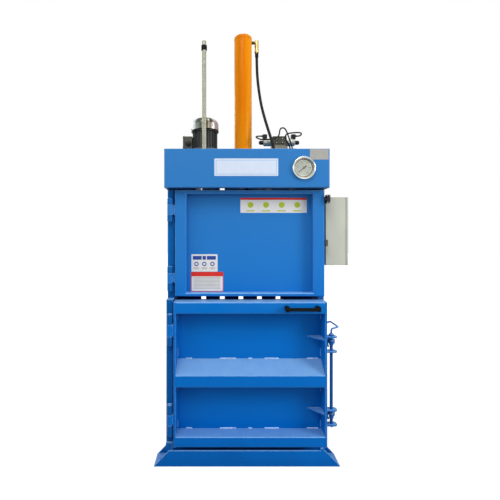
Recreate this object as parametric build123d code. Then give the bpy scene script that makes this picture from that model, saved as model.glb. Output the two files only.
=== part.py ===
"""Vertical hydraulic baler for card and film, with a hinged lower door, a hinged feed door and a top ram.

Millimetres. The origin is on the floor, in the middle of the four anchor holes. +Z is up, the doors face -Y,
and +X is to the right for a person who stands in front of the doors. A cut reaches 1 mm past the faces that
it opens.
"""
from build123d import *
from math import cos, hypot, pi, radians, sin, tan
import os

# Main body
body_half = 459.0          # centre to the outer face of a side wall
wall_t = 8.0
front_y = -250.0           # plane that the doors close against
rear_y = 308.0             # outer face of the rear wall
wall_top = 1778.0
inner_half = body_half - wall_t
rear_inner_y = rear_y - wall_t
jamb_over = 25.0           # how far a wall's folded front edge reaches behind the closed doors
jamb_over_left = 8.0
jamb_t = 6.0
fold_r = 6.0               # outer radius of a fold in the door rails and the fascia

# Feet: channels that lie on their webs, with ends cut to a mitre
foot_h = 88.0
foot_w = 116.0
foot_t = 8.0
foot_half = body_half + 63.0
foot_end_run = 85.0        # how far an end leans inwards over the height
foot_centre_y = 298.0
anchor_x = foot_half - 32.0
anchor_r = 7.0
pad_w = 19.0               # rest pad under the free end of the lower door
pad_in = 38.0              # the pad starts this far in from the door's free edge
pad_d = 38.0
pad_gap = 0.3

# Straps: grooves in the floor and in the platen line up with slots in the rear wall
strap_pitch = 138.0
strap_count = 5
strap_w = 34.0
strap_xs = [(i - (strap_count - 1) / 2) * strap_pitch for i in range(strap_count)]
strap_top_z = 1662.0
floor_plate_t = 12.0
floor_z = 170.0            # top of the chamber floor
rear_rib_t = 8.0
rear_rib_d = 40.0
rear_rib_offset = 34.0     # ribs stand this far each side of a slot's middle

# Deck and front fascia over the doors
deck_z = 1692.0            # underside of the deck
deck_t = 12.0
beam_z = 1590.0            # lower edge of the front beam
beam_t = 12.0
fascia_front = -350.0
fascia_z = 1560.0
fascia_t = 6.0
fascia_half = body_half + fascia_t
fascia_lip = 30.0
fascia_return = 150.0      # how far its sides run back over the walls

# Doors
door_left = -(body_half - 47.0)
door_right = body_half - 9.0
lower_front = -350.0
lower_z0 = foot_h + 14.0
lower_z1 = 917.0
lower_depth = 90.0
upper_front = -300.0
upper_z0 = 940.0
upper_z1 = fascia_z - 8.0
upper_depth = 43.0
door_sheet = 6.0
side_plate_t = 12.0
rail_t = 5.0
bottom_rail_h = 60.0
middle_rail_z = 437.0
middle_rail_h = 67.0
middle_rail_rise = 66.0    # sloped top of the middle rail
top_rail_h = 66.0
gusset_leg = 78.0
gusset_t = 8.0
stile_w = 67.0
upper_rail_top = 23.0
upper_rail_bottom = 20.0
frame_sheet = 4.0

# Hinges
knuckle_r = 14.0
pin_r = 8.0
pin_clear = 0.25
pin_head_r = 11.0
pin_head_t = 4.0
knuckle_gap = 0.6
leaf_t = 10.0
lower_axis = (door_left - 21.0, lower_front)
upper_axis = (door_left - 28.0, upper_front)
post_left = -(body_half - 4.0)
post_right = door_left - 5.0
post_t = 5.0
post_block_z = foot_h + 41.0       # top of the block that the post stands on
lower_hinges = [(678.0, 724.0, 792.0, 849.0), (172.0, 230.0, 287.0, 344.0)]
upper_hinges = [(1371.0, 1409.0, 1466.0, 1502.0), (975.0, 1020.0, 1074.0, 1111.0)]

# Latch of the lower door
latch_x = door_right + 40.0
latch_y = -292.0
latch_r = 9.0
latch_clear = 0.4
latch_plate_t = 8.0
latch_plate_x1 = latch_x + 31.0
latch_plate_half = 20.0
latch_plate_corner = 11.0          # cut corner of each plate
latch_brackets = [200.0, 620.0]    # underside of each bracket's lower plate
latch_pitch = 84.0                 # lower plate to upper plate
latch_top = latch_brackets[-1] + latch_pitch + 23.0
latch_bottom = latch_brackets[0] - 10.0
hook_hub_r = 13.0
hook_in_r = 34.5
hook_out_r = 42.0
hook_h = 26.0
hook_rise = 40.0                   # bracket underside to hook underside
hook_arm_deg = 52.0
hook_arm_w = 13.0
hook_tip_deg = 102.5
hook_lip_deg = 44.0                # where the lip starts
hook_mid_deg = 77.0
hook_arm_root = 10.0               # the arm starts this far from the shaft's axis
hook_arm_tip = 38.0
collar_r = 15.0
collar_h = 10.0
keeper_dx = -16.0                  # keeper pin from the latch shaft
keeper_dy = 22.0
keeper_pin_r = 6.0
keeper_lug_t = 6.0
keeper_lug_w = 8.5
keeper_base_t = 5.0
keeper_base_y1 = -196.0
keeper_low = 24.0                  # bracket underside to the keeper's lower end
keeper_high = 74.0
keeper_lug_y1 = -230.0
handle_rod_r = 5.2
handle_stem = 26.0                 # straight length over the shaft
handle_reach = 41.0
handle_up = 10.0                   # rise of the short leg
handle_back = 165.0
handle_bends = [14.0, 12.0, 44.0]
grip_drop = 8.0
grip_end = (24.0, 16.0, 20.0)      # last leg of the grip: inwards, back and down

# Black pull handle on the lower door
pull_x1 = door_right - 44.0
pull_x0 = pull_x1 - 195.0
pull_z = 886.0
pull_foot_w = 24.0
pull_foot_h = 28.0
pull_stand = 38.0
pull_bar_h = 20.0
pull_bar_t = 14.0
pull_inset = 4.0           # bar ends from the outer sides of the feet
pull_step = 2.0            # the feet stand this far behind and below the bar's faces
pull_round = 6.0

# Platen
platen_half = inner_half - 11.0
platen_front_y = -232.0
platen_rear_y = 292.0
platen_z = 1560.0
platen_bar_h = 90.0
platen_bar_t = 8.0
platen_plate_t = 15.0
hub_r = 62.0
socket_r = 50.0
socket_h = 12.0

# Cylinder
ram_x = 0.0
ram_y = 25.0
barrel_r = 58.0
barrel_in_r = barrel_r - 8.0
barrel_top = 2580.0
cap_t = 20.0
cap_chamfer = 5.0
gland_r = 95.0
gland_t = 22.0
spigot_r = 61.0
spigot_clear = 0.3
spigot_z = deck_z - 12.0
gland_bolts = 8
gland_bolt_r = 10.0        # across the corners of a bolt head, halved
gland_bolt_h = 7.0
rod_r = 30.0
rod_clear = 0.3
piston_clear = 0.3
piston_z0 = barrel_top - 90.0
piston_h = 45.0
port_z = barrel_top - 14.0
port_r = 10.0              # steel stub for the upper hose
port_bore_r = 7.0
port_sink = 11.0           # how deep the stub saddles on the barrel
elbow_x = ram_x + barrel_r + 33.0
elbow_r = 12.5
elbow_z = port_z - 69.0

# Stroke rod, which rises and falls with the platen
stroke_x = -250.0
stroke_y = -150.0
stroke_r = 13.0
stroke_wall = 4.0
stroke_top = 2484.0
stroke_collar_z = stroke_top - 54.0
stroke_collar_h = 27.0
stroke_collar_r = 17.5
bush_r = 26.0
bush_t = 9.0
bush_body_r = 19.0
bush_clear = 0.4

# Power unit on the deck
tank_x0 = -430.0
tank_x1 = -108.0
tank_y0 = -35.0
tank_y1 = 265.0
tank_z1 = deck_z + deck_t + 146.0
tank_t = 3.0
tank_hole_r = 55.0
tank_corner_r = 14.0
filler_x = -146.0
filler_y = 205.0
filler_r = 24.0
filler_h = 38.0
filler_neck_r = 18.0
filler_cap_h = 20.0
motor_x = -254.0
motor_y = 50.0
motor_core_r = 74.0
motor_fin_r = motor_core_r + 9.0
motor_fins = 30
motor_fin_t = 4.5          # at its root
motor_fin_tip = 3.2
motor_ring_t = 10.0        # end ring under the cowl
motor_z1 = tank_z1 + 134.0
motor_flange_r = motor_fin_r + 3.0
motor_flange_t = 12.0
shaft_r = 10.0
cowl_r = motor_fin_r + 8.0
cowl_z0 = motor_z1 - 6.0
cowl_top = cowl_z0 + 84.0
cowl_shoulder = 42.0
cowl_flat_r = 44.0
cowl_t = 2.0
cowl_slots = 12
cowl_slot = (16.0, 40.0, 3.0)      # inner end, outer end and half width
cowl_bulge = (0.74, 0.72)          # middle of the dome, as shares of its width and height
fan_r = cowl_r - 23.0
fan_blades = 7
fan_z0 = motor_z1 + 12.0
fan_h = 26.0
fan_hub_r = 22.0
fan_blade_t = 3.0
fan_disc_t = 3.0
box_x0 = motor_x - 144.0
box_w = 88.0
box_z0 = tank_z1 + 14.0
box_h = 76.0
box_lid_t = 10.0
box_lid_over = 3.0
box_round = 8.0
box_gland_r = 10.0
box_gland_h = 10.0

# Valve on its stand
valve_x = 230.0
valve_y = -30.0
valve_w = 91.0
valve_d = 54.0
valve_z0 = deck_z + deck_t + 162.0
valve_h = 60.0
stand_half = 100.0
stand_front_y = -75.0
stand_rear_y = 20.0
stand_t = 8.0
manifold_h = 24.0
manifold_over = 6.0        # how far the manifold reaches past the valve's ends
valve_edge = 4.0
valve_cover_half = 24.0
valve_cover_t = 3.0
valve_cover_in = 12.0
coil_l = 56.0
coil_r = 23.0
coil_z = valve_z0 + 23.0
coil_edge = 3.0
core_r = 9.0
nut_r = 13.5
nut_l = 24.0
core_tip = 5.0
plug_l = 28.0
plug_d = 28.0
plug_h = 30.0
plug_edge = 4.0
plug_gland_r = 6.5
plug_gland_l = 8.0
deck_gland_r = 8.0
pipe_r = 6.0
pipe_bend = 24.0
pipe_pitch = 26.0
pipe_y = 165.0             # pipes pass behind the cylinder here
pipe_z = 1790.0
gland_pipe_bend = 19.0
pipe_socket_r = 9.0
pipe_socket = (-6.0, 12.0) # reach of the socket inwards and outwards of the flange's rim

# Hose and leads: points chosen by hand along the real routes
hose_r = 9.0
hose_points = [
    (91, 25, 2497), (91, 25, 2392), (100, 8, 2262), (116, -16, 2138), (134, -42, 2050),
    (151, -68, 1976), (166, -91, 1914), (180, -109, 1856), (188, -117, 1808), (188, -117, 1768),
]
hose_tail_z = hose_points[-1][2] - 30.0
lead_r = 4.5
left_lead_points = [
    (116, -30, 1932), (101, -30, 1932), (86, -36, 1929), (79, -49, 1922), (82, -64, 1913), (94, -74, 1904),
    (112, -78, 1898), (142, -79, 1896), (174, -77, 1900), (201, -76, 1908), (219, -75, 1917), (226, -75, 1936),
    (228, -75, 1958), (235, -75, 1970), (247, -75, 1974), (259, -75, 1970), (268, -76, 1958), (277, -80, 1932),
    (286, -86, 1904), (295, -93, 1872), (304, -99, 1836), (311, -104, 1796), (314, -106, 1752),
    (314, -106, 1718),
]
right_lead_points = [
    (344, -30, 1932), (358, -30, 1932), (369, -37, 1935), (372, -50, 1940), (366, -64, 1943), (352, -72, 1944),
    (330, -75, 1943), (306, -75, 1941), (284, -71, 1939), (268, -70, 1931), (263, -71, 1914), (270, -75, 1893),
    (283, -81, 1867), (293, -88, 1838), (297, -92, 1800), (295, -94, 1758), (295, -94, 1718),
]

# Pressure gauge in the fascia
gauge_x = 319.0
gauge_z = 1670.0
gauge_case_r = 58.0
gauge_case_t = 4.0
gauge_case_d = 45.0
gauge_bezel_r = gauge_case_r + 7.0
gauge_bezel_t = 14.0
gauge_dial_r = gauge_case_r - gauge_case_t - 0.5
gauge_dial_t = 1.5
gauge_dial_back = 7.0      # dial face behind the fascia's face
gauge_pointer_l = gauge_dial_r - 9.5
gauge_pointer_deg = 220.0
gauge_pivot_r = 2.5
gauge_pivot_l = 4.0
gauge_room = 4.0           # free space round the case in the deck's notch
gauge_stem_r = 9.0
gauge_stem_l = 25.0
gauge_post_r = 8.0
gauge_bezel_round = 6.0
gauge_glass_t = 4.0
gauge_glass_clear = 0.3
pointer_gap = 1.4          # between the dial and the pointer
pointer_t = 1.6
pointer_hub_r = 6.0
pointer_tail = 15.0
pointer_weight_r = 4.5     # disc at the tail's end
pointer_root = 2.4         # half width at the tail
pointer_tip = 0.8
pointer_clear = 0.2

# Electrical cabinet on the right wall
cab_x0 = body_half + 12.0
cab_x1 = cab_x0 + 117.0
cab_y0 = -250.0
cab_y1 = 50.0
cab_z0 = 1114.0
cab_z1 = 1516.0
cab_t = 2.0
cab_fold_r = 3.0
cab_door_x0 = cab_x1 + 4.0          # the door stands off by the thickness of its seal
cab_door_x1 = cab_door_x0 + 12.0
cab_pad_r = 12.0
cab_pad_in = 60.0
cab_hinge_r = 5.0
cab_hinge_pin_r = 2.5
cab_hinge_x = cab_door_x0 + 4.0
cab_hinge_y = cab_y1 + 7.0
cab_hinge_l = 34.0
cab_hinge_in = 50.0
cab_leaf_x0 = cab_x1 - 16.0        # fixed leaf of each hinge
cab_leaf_x1 = cab_x1 - 3.0
cab_leaf_half = 1.0
cab_lid_leaf_half = 2.0
cab_hinge_gap = 0.4
gear_x = cab_x0 + 9.0      # back of the mounting plate
gear_in = 25.0             # plate edges from the cabinet's sides
gear_plate_t = 2.0
gear_rail_t = 7.0
gear_rail_half = 17.0
gear_rail_in = 8.0
gear_post_r = 6.0
gear_post_in = (12.0, 15.0)
gear_rows = [              # height over the floor, own height, then start, end and depth of each device
    (292.0, 75.0, ((45.0, 90.0, 82.0), (95.0, 140.0, 82.0), (145.0, 200.0, 70.0))),
    (172.0, 85.0, ((45.0, 130.0, 90.0), (150.0, 210.0, 60.0))),
    (67.0, 55.0, ((40.0, 260.0, 45.0),)),
]
stop_y = cab_y0 + 175.0
stop_z = cab_z1 - 81.0
stop_r = 20.0
push_y = stop_y
up_z = stop_z - 70.0
down_z = up_z - 55.0
push_r = 10.5
push_clear = 0.4
selector_y = stop_y - 85.0
selector_z = stop_z
boss_r = push_r + 4.5
boss_t = 5.0
stem_x0 = cab_door_x0 - 6.0        # inner end of each button's stem
stem_flange_r = push_r + 3.5
stem_flange_x1 = cab_door_x0 - push_clear      # the flange behind the boss keeps the stem in
stop_cap_t = 14.0
stop_stand = 8.0           # gap under the stop button's cap
stop_round = 5.0
push_stand = 5.0
knob_disc_r = 13.0
knob_gap = 0.4
knob_disc_t = 8.0
grip_t = 12.0
grip_half_w = 4.0
grip_half_l = 12.0
grip_round = 2.0

# Limit switch and catch beside the feed door
switch_x0 = door_right + 6.0
switch_x1 = switch_x0 + 21.0
switch_y0 = -320.0
switch_y1 = -282.0
switch_z0 = 1476.0
switch_z1 = 1523.0
plunger_r = 3.5
plunger_gap = 2.0
plunger_clear = 0.3
plunger_l = 10.0
side_arm_t = 5.0
side_arm_y1 = -222.0
side_round = 3.0
switch_bore_l = 15.0
switch_arm_in = 8.0        # the arm is this much lower and shorter than the switch
plunger_round = 1.5
catch_x0 = door_right + 4.0
catch_x1 = catch_x0 + 15.0
catch_d = 30.0
catch_arm_in = 6.0
catch_z0 = 1228.0
catch_z1 = 1266.0


def span(x0, x1, y0, y1, z0, z1):
    """Block between two opposite corners."""
    return Pos((x0 + x1) / 2, (y0 + y1) / 2, (z0 + z1) / 2) * Box(abs(x1 - x0), abs(y1 - y0), abs(z1 - z0))


def upright(x, y, z0, z1, r):
    """Round bar that stands between two heights."""
    return Pos(x, y, (z0 + z1) / 2) * Cylinder(r, z1 - z0)


def bar_x(x0, x1, y, z, r):
    """Round bar along X."""
    return Pos((x0 + x1) / 2, y, z) * Rot(0, 90, 0) * Cylinder(r, x1 - x0)


def bar_y(x, y0, y1, z, r):
    """Round bar along Y."""
    return Pos(x, (y0 + y1) / 2, z) * Rot(90, 0, 0) * Cylinder(r, y1 - y0)


def prism_x(points, x0, x1):
    """Outline of (y, z) points, carried along X."""
    face = Plane(origin=(x0, 0, 0), x_dir=(0, 1, 0), z_dir=(1, 0, 0)) * Polygon(*points, align=None)
    return extrude(face, amount=x1 - x0, dir=(1, 0, 0))


def prism_y(points, y0, y1):
    """Outline of (x, z) points, carried along Y."""
    face = Plane(origin=(0, y0, 0), x_dir=(1, 0, 0), z_dir=(0, -1, 0)) * Polygon(*points, align=None)
    return extrude(face, amount=y1 - y0, dir=(0, 1, 0))


def prism_z(points, z0, z1):
    """Outline of (x, y) points, carried upwards."""
    face = Plane(origin=(0, 0, z0)) * Polygon(*points, align=None)
    return extrude(face, amount=z1 - z0, dir=(0, 0, 1))


def foot(side):
    """Channel foot with mitred ends and two anchor holes; side is -1 at the front and 1 at the rear."""
    y0 = side * foot_centre_y - foot_w / 2
    y1 = side * foot_centre_y + foot_w / 2
    top_half = foot_half - foot_end_run
    shape = prism_y([(-foot_half, 0), (foot_half, 0), (top_half, foot_h), (-top_half, foot_h)], y0, y1)
    shape -= span(-foot_half, foot_half, y0 + foot_t, y1 - foot_t, foot_t, foot_h + 1)
    for x in (-anchor_x, anchor_x):
        shape -= upright(x, side * foot_centre_y, -1, foot_t + 1, anchor_r)
    return shape


def front_foot():
    """Front foot, with the pad that takes the free end of the closed lower door."""
    pad_y0 = -foot_centre_y - foot_w / 2
    pad_x = door_right - pad_in
    return foot(-1) + span(pad_x, pad_x + pad_w, pad_y0, pad_y0 + pad_d, foot_h, lower_z0 - pad_gap)


def chamber_floor():
    """Floor weldment: a base plate with upstanding box bars, and a strap groove between each two."""
    shape = span(-inner_half, inner_half, front_y, rear_inner_y, foot_h, foot_h + floor_plate_t)
    edges = [-inner_half] + [x + s * strap_w / 2 for x in strap_xs for s in (-1, 1)] + [inner_half]
    for x0, x1 in zip(edges[::2], edges[1::2]):
        shape += span(x0, x1, front_y, rear_inner_y, foot_h + floor_plate_t, floor_z)
        low = foot_h + floor_plate_t
        shape -= span(x0 + wall_t, x1 - wall_t, front_y + wall_t, rear_inner_y + 1, low, floor_z - wall_t)
    return shape


def left_wall():
    """Side plate on the hinge side, with a folded jamb behind the hinge post and the doors' edge."""
    jamb = span(-inner_half, door_left + jamb_over_left, front_y, front_y + jamb_t, floor_z, beam_z)
    return span(-body_half, -inner_half, front_y, rear_y, foot_h, wall_top) + jamb


def right_wall():
    """Side plate on the latch side, with a folded jamb that the doors close against."""
    jamb = span(door_right - jamb_over, inner_half, front_y, front_y + jamb_t, floor_z, beam_z)
    return span(inner_half, body_half, front_y, rear_y, foot_h, wall_top) + jamb


def rear_wall():
    """Rear plate with a strap slot for each groove and stiffening ribs beside the slots."""
    shape = span(-inner_half, inner_half, rear_inner_y, rear_y, foot_h, wall_top)
    slot_z0 = foot_h + floor_plate_t
    for x in strap_xs:
        shape -= span(x - strap_w / 2, x + strap_w / 2, rear_inner_y - 1, rear_y + 1, slot_z0, strap_top_z)
        for s in (-1, 1):
            rib_x = x + s * rear_rib_offset
            half = rear_rib_t / 2
            shape += span(rib_x - half, rib_x + half, rear_y, rear_y + rear_rib_d, foot_h, deck_z)
    return shape


def post_section(front, z0, z1):
    """Length of the hinge post: a folded channel that is open to the rear."""
    shape = span(post_left, post_right, front, front_y, z0, z1)
    shape = fillet(shape.edges().filter_by(Axis.Z).group_by(Axis.Y)[0], radius=fold_r)
    return shape - span(post_left + post_t, post_right - post_t, front + post_t, front_y + 1, z0 - 1, z1 + 1)


def hinge_post():
    """Post that carries both doors; its upper length stands further back, behind the feed door's hinges."""
    split_z = (lower_z1 + upper_z0) / 2
    block = span(post_left, post_right, lower_front, front_y, foot_h, post_block_z)
    lower = post_section(lower_axis[1] + knuckle_r, post_block_z, split_z)
    upper = post_section(upper_axis[1] + knuckle_r, split_z, upper_z1)
    cap = span(post_left, post_right, lower_axis[1] + knuckle_r, front_y, split_z - post_t, split_z)
    return block + lower + upper + cap


def knuckle(axis, z0, z1):
    """Hinge barrel round one pin."""
    return upright(axis[0], axis[1], z0, z1, knuckle_r)


def pin_hole(axis, z0, z1):
    """Bore for a hinge pin."""
    return upright(axis[0], axis[1], z0 - 1, z1 + 1, pin_r + pin_clear)


def frame_knuckles():
    """Outer knuckles of all four hinges, each with the weld block that joins it to the post."""
    parts = []
    for axis, hinges in ((lower_axis, lower_hinges), (upper_axis, upper_hinges)):
        post_front = axis[1] + knuckle_r
        for z0, z1, z2, z3 in hinges:
            for low, high in ((z0, z1), (z2, z3)):
                back = axis[1] + knuckle_r / 2
                block = span(axis[0] - knuckle_r, axis[0] + knuckle_r, back, post_front, low, high)
                parts.append(knuckle(axis, low, high) + block - pin_hole(axis, low, high))
    return Compound(children=parts)


def hinge_pins():
    """Pin of each hinge, which hangs from its head."""
    parts = []
    for axis, hinges in ((lower_axis, lower_hinges), (upper_axis, upper_hinges)):
        for z0, z1, z2, z3 in hinges:
            head = upright(axis[0], axis[1], z3, z3 + pin_head_t, pin_head_r)
            parts.append(upright(axis[0], axis[1], z0, z3, pin_r) + head)
    return Compound(children=parts)


def door_knuckles(axis, hinges, edge_x):
    """Middle knuckles and their leaves, for one door."""
    shape = None
    for z0, z1, z2, z3 in hinges:
        low = z1 + knuckle_gap
        high = z2 - knuckle_gap
        leaf = span(axis[0], edge_x, axis[1], axis[1] + leaf_t, low, high)
        piece = knuckle(axis, low, high) + leaf - pin_hole(axis, low, high)
        shape = piece if shape is None else shape + piece
    return shape


def latch_bracket(z):
    """Two plates on the lower door's edge that the latch shaft turns in."""
    shape = None
    for low in (z, z + latch_pitch):
        front = latch_y - latch_plate_half
        plate = span(door_right, latch_plate_x1, front, front + 2 * latch_plate_half, low, low + latch_plate_t)
        plate = chamfer(plate.edges().filter_by(Axis.Z).group_by(Axis.X)[-1], latch_plate_corner)
        plate = plate - upright(latch_x, latch_y, low - 1, low + latch_plate_t + 1, latch_r + latch_clear)
        shape = plate if shape is None else shape + plate
    return shape


def lower_rail(points):
    """Length of rail between the lower door's side plates."""
    return prism_x(points, door_left + side_plate_t, door_right - side_plate_t)


def folded_rail(points):
    """Rail with its two front edges folded round."""
    rail = lower_rail(points)
    return fillet(rail.edges().filter_by(Axis.X).group_by(Axis.Y)[0], radius=fold_r)


def lower_door_frame():
    """Weldment of two side plates, three folded rails, corner gussets, hinge leaves and latch brackets."""
    rear = lower_front + lower_depth
    shape = span(door_left, door_left + side_plate_t, lower_front, rear, lower_z0, lower_z1)
    shape += span(door_right - side_plate_t, door_right, lower_front, rear, lower_z0, lower_z1)
    inner = lower_front + rail_t
    for z0, z1 in ((lower_z0, lower_z0 + bottom_rail_h), (lower_z1 - top_rail_h, lower_z1)):
        shape += folded_rail([(lower_front, z0), (rear, z0), (rear, z1), (lower_front, z1)])
        low = z0 + rail_t
        high = z1 - rail_t
        shape -= lower_rail([(inner, low), (rear + 1, low), (rear + 1, high), (inner, high)])
    slope = middle_rail_rise / lower_depth
    drop = rail_t * hypot(1, slope)
    z0 = middle_rail_z
    z1 = middle_rail_z + middle_rail_h
    shape += folded_rail([(lower_front, z0), (rear, z0), (rear, z1 + middle_rail_rise), (lower_front, z1)])
    shape -= lower_rail([
        (inner, z0 + rail_t), (rear + 1, z0 + rail_t),
        (rear + 1, z1 + middle_rail_rise + slope - drop), (inner, z1 + rail_t * slope - drop),
    ])
    corner = door_right - side_plate_t
    for z in latch_brackets:
        low = z + latch_pitch - gusset_t
        triangle = [(corner, rear), (corner - gusset_leg, rear), (corner, rear - gusset_leg)]
        shape += prism_z(triangle, low, low + gusset_t)
        shape += latch_bracket(z)
    return shape + door_knuckles(lower_axis, lower_hinges, door_left)


def lower_door_panel():
    """Flat sheet behind the lower door's rails."""
    rear = lower_front + lower_depth
    return span(door_left, door_right, rear, rear + door_sheet, lower_z0, lower_z1)


def upper_door_frame():
    """Folded frame of the feed door, open towards its sheet, with its hinge leaves."""
    rear = upper_front + upper_depth
    x0 = door_left + stile_w
    x1 = door_right - stile_w
    z0 = upper_z0 + upper_rail_bottom
    z1 = upper_z1 - upper_rail_top
    shape = span(door_left, door_right, upper_front, rear, upper_z0, upper_z1)
    shape -= span(x0, x1, upper_front - 1, rear + 1, z0, z1)
    shape = fillet(shape.edges().group_by(Axis.Y)[0], radius=fold_r)
    inner = upper_front + frame_sheet
    for left, right in ((door_left, x0), (x1, door_right)):
        low = upper_z0 + frame_sheet
        shape -= span(left + frame_sheet, right - frame_sheet, inner, rear + 1, low, upper_z1 - frame_sheet)
    for low, high in ((upper_z0, z0), (z1, upper_z1)):
        left = x0 - frame_sheet
        shape -= span(left, x1 + frame_sheet, inner, rear + 1, low + frame_sheet, high - frame_sheet)
    return shape + door_knuckles(upper_axis, upper_hinges, door_left)


def upper_door_panel():
    """Flat sheet of the feed door."""
    rear = upper_front + upper_depth
    return span(door_left, door_right, rear, rear + door_sheet, upper_z0, upper_z1)


def door_handle():
    """Black pull handle: a bar between two stand-off feet, a little below the feet's middle."""
    bar_z0 = pull_z - pull_foot_h / 2
    bar_front = lower_front - pull_stand
    bar_x0 = pull_x0 + pull_inset
    bar_x1 = pull_x1 - pull_inset
    shape = span(bar_x0, bar_x1, bar_front, bar_front + pull_bar_t, bar_z0, bar_z0 + pull_bar_h)
    shape = fillet(shape.edges().filter_by(Axis.X), radius=pull_round)
    z0 = bar_z0 - pull_step
    for x0 in (pull_x0, pull_x1 - pull_foot_w):
        foot_block = span(x0, x0 + pull_foot_w, bar_front + pull_step, lower_front, z0, z0 + pull_foot_h)
        shape += fillet(foot_block.edges().filter_by(Axis.Y), radius=pull_round)
    return shape


def hook(z0):
    """Claw of the latch: a hub, an arm and a curved lip that closes round the keeper pin."""
    def ray(deg, r):
        return (r * cos(radians(deg)), r * sin(radians(deg)))
    far = 2 * hook_out_r
    wedge = Polygon((0, 0), ray(hook_lip_deg, far), ray(hook_mid_deg, far), ray(hook_tip_deg, far), align=None)
    lip = (Circle(hook_out_r) - Circle(hook_in_r)) & wedge
    middle = (hook_arm_root + hook_arm_tip) / 2
    arm = Rot(0, 0, hook_arm_deg) * Pos(middle, 0) * Rectangle(hook_arm_tip - hook_arm_root, hook_arm_w)
    outline = Circle(hook_hub_r) + arm + lip
    return Pos(latch_x, latch_y, z0) * extrude(outline, amount=hook_h)


def latch_shaft():
    """Latch shaft with its two welded claws and the collar that carries it on the upper bracket."""
    shape = upright(latch_x, latch_y, latch_bottom, latch_top, latch_r)
    for z in latch_brackets:
        shape += hook(z + hook_rise)
    collar_z = latch_brackets[-1] + latch_pitch + latch_plate_t + pad_gap
    return shape + upright(latch_x, latch_y, collar_z, collar_z + collar_h, collar_r)


def latch_handle():
    """Bent rod on top of the latch shaft; its grip lies back along the machine's side."""
    z = latch_top + handle_stem + handle_up
    x = latch_x + handle_reach
    y = latch_y + handle_back
    path = FilletPolyline(
        (latch_x, latch_y, latch_top),
        (latch_x, latch_y, latch_top + handle_stem),
        (x, latch_y, z),
        (x, y, z - grip_drop),
        (x - grip_end[0], y + grip_end[1], z - grip_drop - grip_end[2]),
        radius=handle_bends,
    )
    return sweep(Plane(path @ 0, z_dir=path % 0) * Circle(handle_rod_r), path=path)


def latch_keepers():
    """Keepers on the right wall: a base plate, two lugs and the pin that the claw closes round."""
    pin_x = latch_x + keeper_dx
    pin_y = latch_y + keeper_dy
    parts = []
    for z in latch_brackets:
        low = z + keeper_low
        high = z + keeper_high
        shape = span(body_half, body_half + keeper_base_t, front_y, keeper_base_y1, low, high)
        for lug_z in (low, high - keeper_lug_t):
            top = lug_z + keeper_lug_t
            shape += span(body_half, pin_x + keeper_lug_w, pin_y - keeper_lug_w, keeper_lug_y1, lug_z, top)
        parts.append(shape + upright(pin_x, pin_y, low, high, keeper_pin_r))
    return Compound(children=parts)


def front_beam():
    """Cross plate over the feed opening."""
    return span(-inner_half, inner_half, front_y, front_y + beam_t, beam_z, deck_z)


def deck_plate():
    """Deck that closes the chamber's top and carries the cylinder and the power unit."""
    z1 = deck_z + deck_t
    shape = span(-inner_half, inner_half, front_y, rear_inner_y, deck_z, z1)
    shape += span(-body_half, body_half, fascia_front + fascia_t, front_y, deck_z, z1)
    notch = gauge_case_r + gauge_room
    notch_y1 = fascia_front + gauge_case_d + gauge_room
    shape -= span(gauge_x - notch, gauge_x + notch, fascia_front, notch_y1, deck_z - 1, z1 + 1)
    shape -= upright(ram_x, ram_y, deck_z - 1, z1 + 1, spigot_r)
    return shape - upright(stroke_x, stroke_y, deck_z - 1, z1 + 1, bush_body_r)


def front_fascia():
    """Folded cover over the doors, with returns down both sides, a lip below and the gauge's hole."""
    inner = fascia_front + fascia_t
    shape = span(-fascia_half, fascia_half, fascia_front, inner, fascia_z, wall_top)
    shape += span(-body_half, body_half, inner, inner + fascia_lip, fascia_z, fascia_z + fascia_t)
    for x0, x1 in ((-fascia_half, -body_half), (body_half, fascia_half)):
        shape += span(x0, x1, inner, inner + fascia_return, fascia_z, wall_top)
    folds = [edge for edge in shape.edges().group_by(Axis.Y)[0] if edge.center().Z < wall_top]
    shape = fillet(folds, radius=fold_r)
    return shape - bar_y(gauge_x, fascia_front - 1, inner + 1, gauge_z, gauge_case_r)


def platen():
    """Press head: box bars with strap grooves between them, a top plate, a hub and the rod's socket."""
    plate_z = platen_z + platen_bar_h
    shape = span(-platen_half, platen_half, platen_front_y, platen_rear_y, plate_z, plate_z + platen_plate_t)
    edges = [-platen_half] + [x + s * strap_w / 2 for x in strap_xs for s in (-1, 1)] + [platen_half]
    for x0, x1 in zip(edges[::2], edges[1::2]):
        shape += span(x0, x1, platen_front_y, platen_rear_y, platen_z, plate_z)
        shape -= span(x0 + platen_bar_t, x1 - platen_bar_t, platen_front_y - 1, platen_rear_y + 1,
                      platen_z + platen_bar_t, plate_z)
    shape += upright(ram_x, ram_y, platen_z, plate_z, hub_r)
    z = plate_z + platen_plate_t
    shape += upright(ram_x, ram_y, z, z + socket_h, socket_r)
    return shape - upright(ram_x, ram_y, z, z + socket_h + 1, rod_r)


def piston_rod():
    """Chromed rod with its piston."""
    rod_z0 = platen_z + platen_bar_h + platen_plate_t
    piston = upright(ram_x, ram_y, piston_z0, piston_z0 + piston_h, barrel_in_r - piston_clear)
    return upright(ram_x, ram_y, rod_z0, piston_z0, rod_r) + piston


def cylinder_barrel():
    """Painted tube with the bored port for the upper hose."""
    z0 = deck_z + deck_t + gland_t
    shape = upright(ram_x, ram_y, z0, barrel_top, barrel_r)
    shape -= upright(ram_x, ram_y, z0 - 1, barrel_top + 1, barrel_in_r)
    return shape - bar_x(ram_x, ram_x + barrel_r + 1, ram_y, port_z, port_bore_r)


def cylinder_cap():
    """Welded end cap with a chamfered edge."""
    cap = upright(ram_x, ram_y, barrel_top, barrel_top + cap_t, barrel_r)
    return chamfer(cap.edges().group_by(Axis.Z)[-1], cap_chamfer)


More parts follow.
